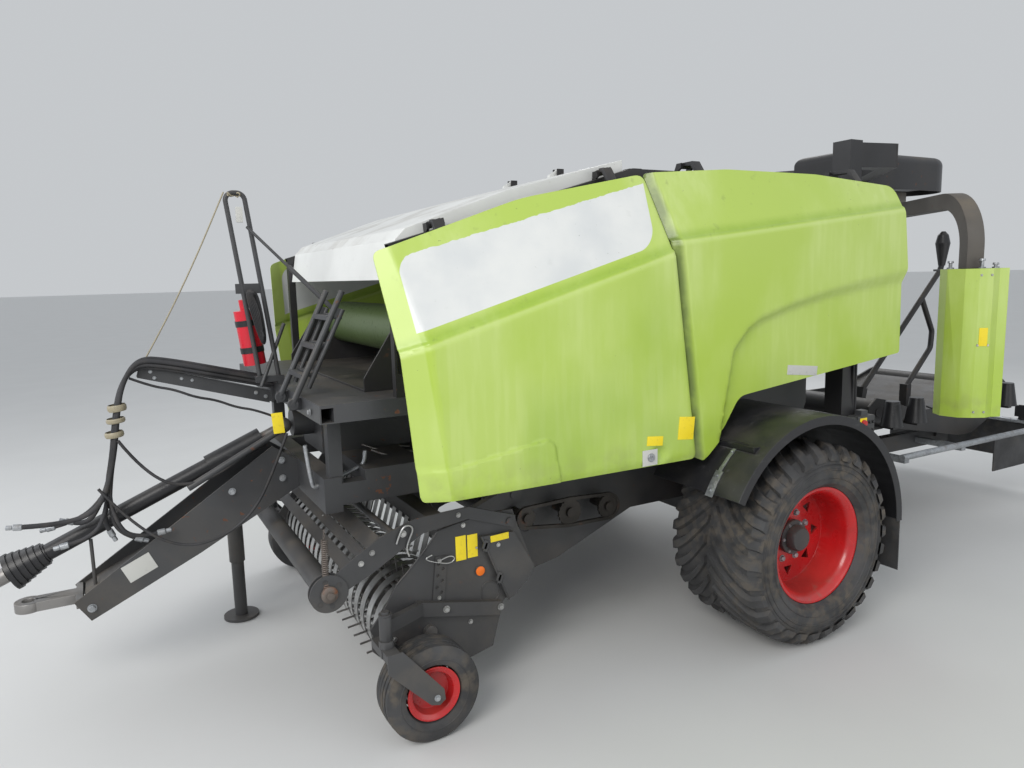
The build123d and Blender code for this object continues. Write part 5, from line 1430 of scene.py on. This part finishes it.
class BALER_OT_hinges(bpy.types.Operator):
    """Adds the hinge arms and latches of the side panels and the straps of the fenders"""

    bl_idname = "baler.hinges"
    bl_label = "Hinges and latches"

    def execute(self, context):
        sizes = context.scene.baler_panels
        depths = {"front": front_depth(sizes), "rear": rear_depth(sizes)}
        for name, side in SIDES:
            for kind, stations, slope in PANEL_HINGES:
                piece, body = f"{kind}_hinges_{name}", f"panel_{kind}_{name}"
                self.hinges(piece, body, side, stations, slope, depths[kind])
            self.lock(name, side, depths["front"])
            self.strap(name, side)
        return {"FINISHED"}

    def hinges(self, name, body, side, stations, slope, depth):
        """The hinge eyes of one panel, each with the arm that reaches down to the panel's face."""
        shape = bmesh.new()
        turn = Matrix.Rotation(-math.atan(slope), 4, "Y")
        for x in stations:
            z = 2.400 + (x + 0.780) * slope
            reach = depth(x, z - 0.062) - 0.008
            add_ring(shape, HINGE_EYE, (x, side * 0.930, z), turn @ Vector((1, 0, 0)), 24)
            arm = (
                (0.934, z + 0.014), (reach - 0.050, z + 0.014), (reach, z - 0.056),
                (reach - 0.012, z - 0.066), (reach - 0.060, z - 0.004), (0.940, z - 0.004),
            )
            outline = [(side * y, height) for y, height in arm]
            add_sheet(shape, outline if side > 0 else outline[::-1], x, 0.050, "YZ", 0.0015)
        from_bmesh(name, shape, body, "black")

    def lock(self, name, side, depth):
        """The lock barrel in the panel's dimple."""
        x, z = LATCH_AT
        face = side * (depth(x, z) + 0.003)
        turned("panel_lock_" + name, "zinc", "panel_front_" + name, ((LOCK, (x, face, z), (0, side, 0), 32),))

    def strap(self, name, side):
        """The bent strap of the fender with its bolts."""
        middle = Vector((ARCH[0], side * STRAP_Y, ARCH[1]))

        def out(degrees):
            return Vector((math.cos(math.radians(degrees)), 0.0, math.sin(math.radians(degrees))))

        shape = bmesh.new()
        for (first, width), (last, _) in zip(STRAP_RUN, STRAP_RUN[1:]):
            start, end = middle + out(first) * 0.638, middle + out(last) * 0.638
            ahead = end - start
            lean = Matrix.Rotation(math.atan2(-ahead.z, ahead.x), 4, "Y")
            add_box(shape, (start + end) / 2, (ahead.length + 0.006, width, 0.004), lean, 0.001)
        from_bmesh("fender_strap_" + name, shape, "frame", "zinc")
        heads = [(middle + out(degrees) * 0.640, out(degrees), 0.007) for degrees in (131.0, 143.5, 150.5)]
        bolts("fender_bolts_" + name, "frame", heads)


# Film units, controls and hoses of the wrapper

ROTOR_X = 2.400
CONTROL_FACE = -1.022
STOP_BUTTON = ((0.0, 0.020), (0.010, 0.020), (0.018, 0.016), (0.020, 0.0001))
SMALL_BUTTON = ((0.0, 0.009), (0.008, 0.009), (0.010, 0.007), (0.010, 0.0001))
POST_HOSE = ((0.860, -0.935, 1.000), (0.830, -0.960, 1.300), (0.815, -0.950, 1.800), (0.820, -0.945, 2.300))
# Knobs on a film unit: reach from the rotor's axis, place across it and height
FILM_KNOBS = ((1.330, -0.120, 0.050), (1.420, 0.020, 0.060), (1.400, 0.110, 0.035), (1.300, 0.060, 0.040))


class BALER_OT_wrapper(bpy.types.Operator):
    """Adds the fittings of the film wrapper and of the control box"""

    bl_idname = "baler.wrapper"
    bl_label = "Wrapper fittings"

    def execute(self, context):
        for index, turn in enumerate((-123.0, 57.0)):
            self.film_unit(index, math.radians(turn))
        stop_at = (0.850, CONTROL_FACE, 0.975)
        turned("stop_button", "red", "frame", ((STOP_BUTTON, stop_at, OUT, 24),))
        plate = ((0.850, CONTROL_FACE - 0.0005, 0.975), OUT, 0.060, 0.060, 0)
        plates("stop_plate", "yellow", "frame", (plate,))
        turned("control_buttons", "plastic", "frame", [
            (SMALL_BUTTON, (x, CONTROL_FACE, z), OUT, 20) for x in (0.905, 0.935) for z in (0.975, 0.925)
        ])
        for index in range(2):
            run = [(x + 0.022 * index, y, z) for x, y, z in POST_HOSE]
            tube(f"post_hose_{index}", run, 0.008, "frame", "hose")
        return {"FINISHED"}

    def film_unit(self, index, turn):
        """Bolts, knobs and a blank plate on one film unit; it rides the rotor."""
        way_out = Vector((math.cos(turn), math.sin(turn), 0.0))
        across = Vector((-way_out.y, way_out.x, 0.0))

        def spot(reach, aside, z):
            return Vector((ROTOR_X, 0.0, z)) + way_out * reach + across * aside

        knobs = []
        for reach, aside, height in FILM_KNOBS:
            knob = (
                (0.0, 0.020), (0.010, 0.020), (0.012, 0.010), (height - 0.014, 0.010),
                (height - 0.012, 0.018), (height, 0.016), (height, 0.0001),
            )
            knobs.append((knob, spot(reach, aside, 1.858), (0, 0, 1), 24))
        turned(f"film_knobs_{index}", "zinc", "rotor", knobs)
        heads = [
            (spot(1.480, aside, z), way_out, 0.006)
            for z in (0.990, 1.400, 1.820) for aside in (-0.010, 0.050)
        ]
        bolts(f"film_bolts_{index}", "rotor", heads, "bright")
        plate = (spot(1.4812, 0.020, 1.450), way_out, 0.050, 0.110, 0)
        plates(f"film_plates_{index}", "yellow", "rotor", (plate,))


# Stage

FLOOR_SIZE = 400.0
LAMPS = (
    # name, place, size in metres, power in watts, colour
    ("key", (-7.5, -5.5, 6.0), 4.5, 470.0, (1.0, 0.98, 0.95)),
    ("fill", (-7.0, 2.5, 4.0), 5.0, 110.0, (0.95, 0.97, 1.0)),
    ("rim", (5.5, 5.5, 6.0), 5.0, 170.0, (1.0, 1.0, 1.0)),
    ("low", (1.5, -7.0, 1.6), 4.0, 60.0, (1.0, 0.98, 0.95)),
)
LAMPS_AIM = Vector((0.0, 0.0, 1.0))
CAMERA_AT = (-3.05, -3.85, 1.89)
# Degrees: yaw from +Y towards +X, pitch down, and roll
CAMERA_TURN = (28.65, 8.2, -1.5)


class BALER_OT_stage(bpy.types.Operator):
    """Sets the floor, the soft lights and the camera at the photograph's angle"""

    bl_idname = "baler.stage"
    bl_label = "Stage"

    def execute(self, context):
        scene = context.scene
        sizes = scene.baler_stage
        bpy.ops.mesh.primitive_plane_add(size=FLOOR_SIZE, location=(0.0, 0.0, -0.002))
        floor = context.active_object
        floor.name = "floor"
        floor.data.materials.append(floor_finish("pale_floor"))
        self.world(scene, sizes)
        for name, place, size, power, tint in LAMPS:
            lamp = bpy.data.lights.new(name, "AREA")
            lamp.size = size
            lamp.energy = power * sizes.light
            lamp.color = tint
            holder = bpy.data.objects.new(name, lamp)
            scene.collection.objects.link(holder)
            holder.location = place
            holder.rotation_euler = (LAMPS_AIM - Vector(place)).to_track_quat("-Z", "Y").to_euler()
        self.camera(scene, sizes)
        scene.view_settings.view_transform = "Standard"
        return {"FINISHED"}

    def camera(self, scene, sizes):
        """The photograph's camera: its place, turn and lens."""
        camera = bpy.data.cameras.new("camera")
        camera.sensor_width = 36.0
        camera.lens = sizes.lens
        camera.clip_start = 0.05
        holder = bpy.data.objects.new("camera", camera)
        scene.collection.objects.link(holder)
        yaw, pitch, roll = (math.radians(angle) for angle in CAMERA_TURN)
        ahead = Vector((math.sin(yaw) * math.cos(pitch), math.cos(yaw) * math.cos(pitch), -math.sin(pitch)))
        right = Vector((math.cos(yaw), -math.sin(yaw), 0.0))
        up = right.cross(ahead)
        right, up = (
            right * math.cos(roll) + up * math.sin(roll),
            up * math.cos(roll) - right * math.sin(roll),
        )
        turn = Matrix((right, up, -ahead)).transposed().to_4x4()
        holder.matrix_world = Matrix.Translation(CAMERA_AT) @ turn
        scene.camera = holder

    def world(self, scene, sizes):
        """Soft light from all round, behind a plain grey that only the camera sees."""
        world = bpy.data.worlds.new("studio")
        world.use_nodes = True
        scene.world = world
        nodes, links = world.node_tree.nodes, world.node_tree.links
        soft_light = nodes["Background"]
        soft_light.inputs["Color"].default_value = (0.86, 0.90, 0.95, 1.0)
        soft_light.inputs["Strength"].default_value = 0.70 * sizes.light
        backdrop = nodes.new("ShaderNodeBackground")
        backdrop.inputs["Color"].default_value = (0.56, 0.58, 0.60, 1.0)
        mixer = nodes.new("ShaderNodeMixShader")
        path = nodes.new("ShaderNodeLightPath")
        links.new(path.outputs["Is Camera Ray"], mixer.inputs[0])
        links.new(soft_light.outputs[0], mixer.inputs[1])
        links.new(backdrop.outputs[0], mixer.inputs[2])
        links.new(mixer.outputs[0], nodes["World Output"].inputs[0])


class BALER_PT_sidebar(bpy.types.Panel):
    """Lists the steps that dress the machine"""

    bl_label = "Baler"
    bl_idname = "BALER_PT_sidebar"
    bl_space_type = "VIEW_3D"
    bl_region_type = "UI"
    bl_category = "Baler"

    def draw(self, context):
        for step in STEPS:
            self.layout.operator(step.bl_idname)


SETTINGS = (
    ("baler_panels", BalerPanels),
    ("baler_tyres", BalerTyres),
    ("baler_stage", BalerStage),
)
STEPS = (
    BALER_OT_finishes,
    BALER_OT_panels,
    BALER_OT_tyres,
    BALER_OT_wheels,
    BALER_OT_plates,
    BALER_OT_pickup,
    BALER_OT_front,
    BALER_OT_hinges,
    BALER_OT_wrapper,
    BALER_OT_stage,
)


def register():
    for name, group in SETTINGS:
        bpy.utils.register_class(group)
        setattr(bpy.types.Scene, name, bpy.props.PointerProperty(type=group))
    for step in STEPS:
        bpy.utils.register_class(step)
    bpy.utils.register_class(BALER_PT_sidebar)


def unregister():
    bpy.utils.unregister_class(BALER_PT_sidebar)
    for step in reversed(STEPS):
        bpy.utils.unregister_class(step)
    for name, group in reversed(SETTINGS):
        delattr(bpy.types.Scene, name)
        bpy.utils.unregister_class(group)


def main():
    """Registers the add-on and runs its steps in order."""
    register()
    for step in STEPS:
        family, action = step.bl_idname.split(".")
        getattr(getattr(bpy.ops, family), action)()


if __name__ == "__main__":
    main()
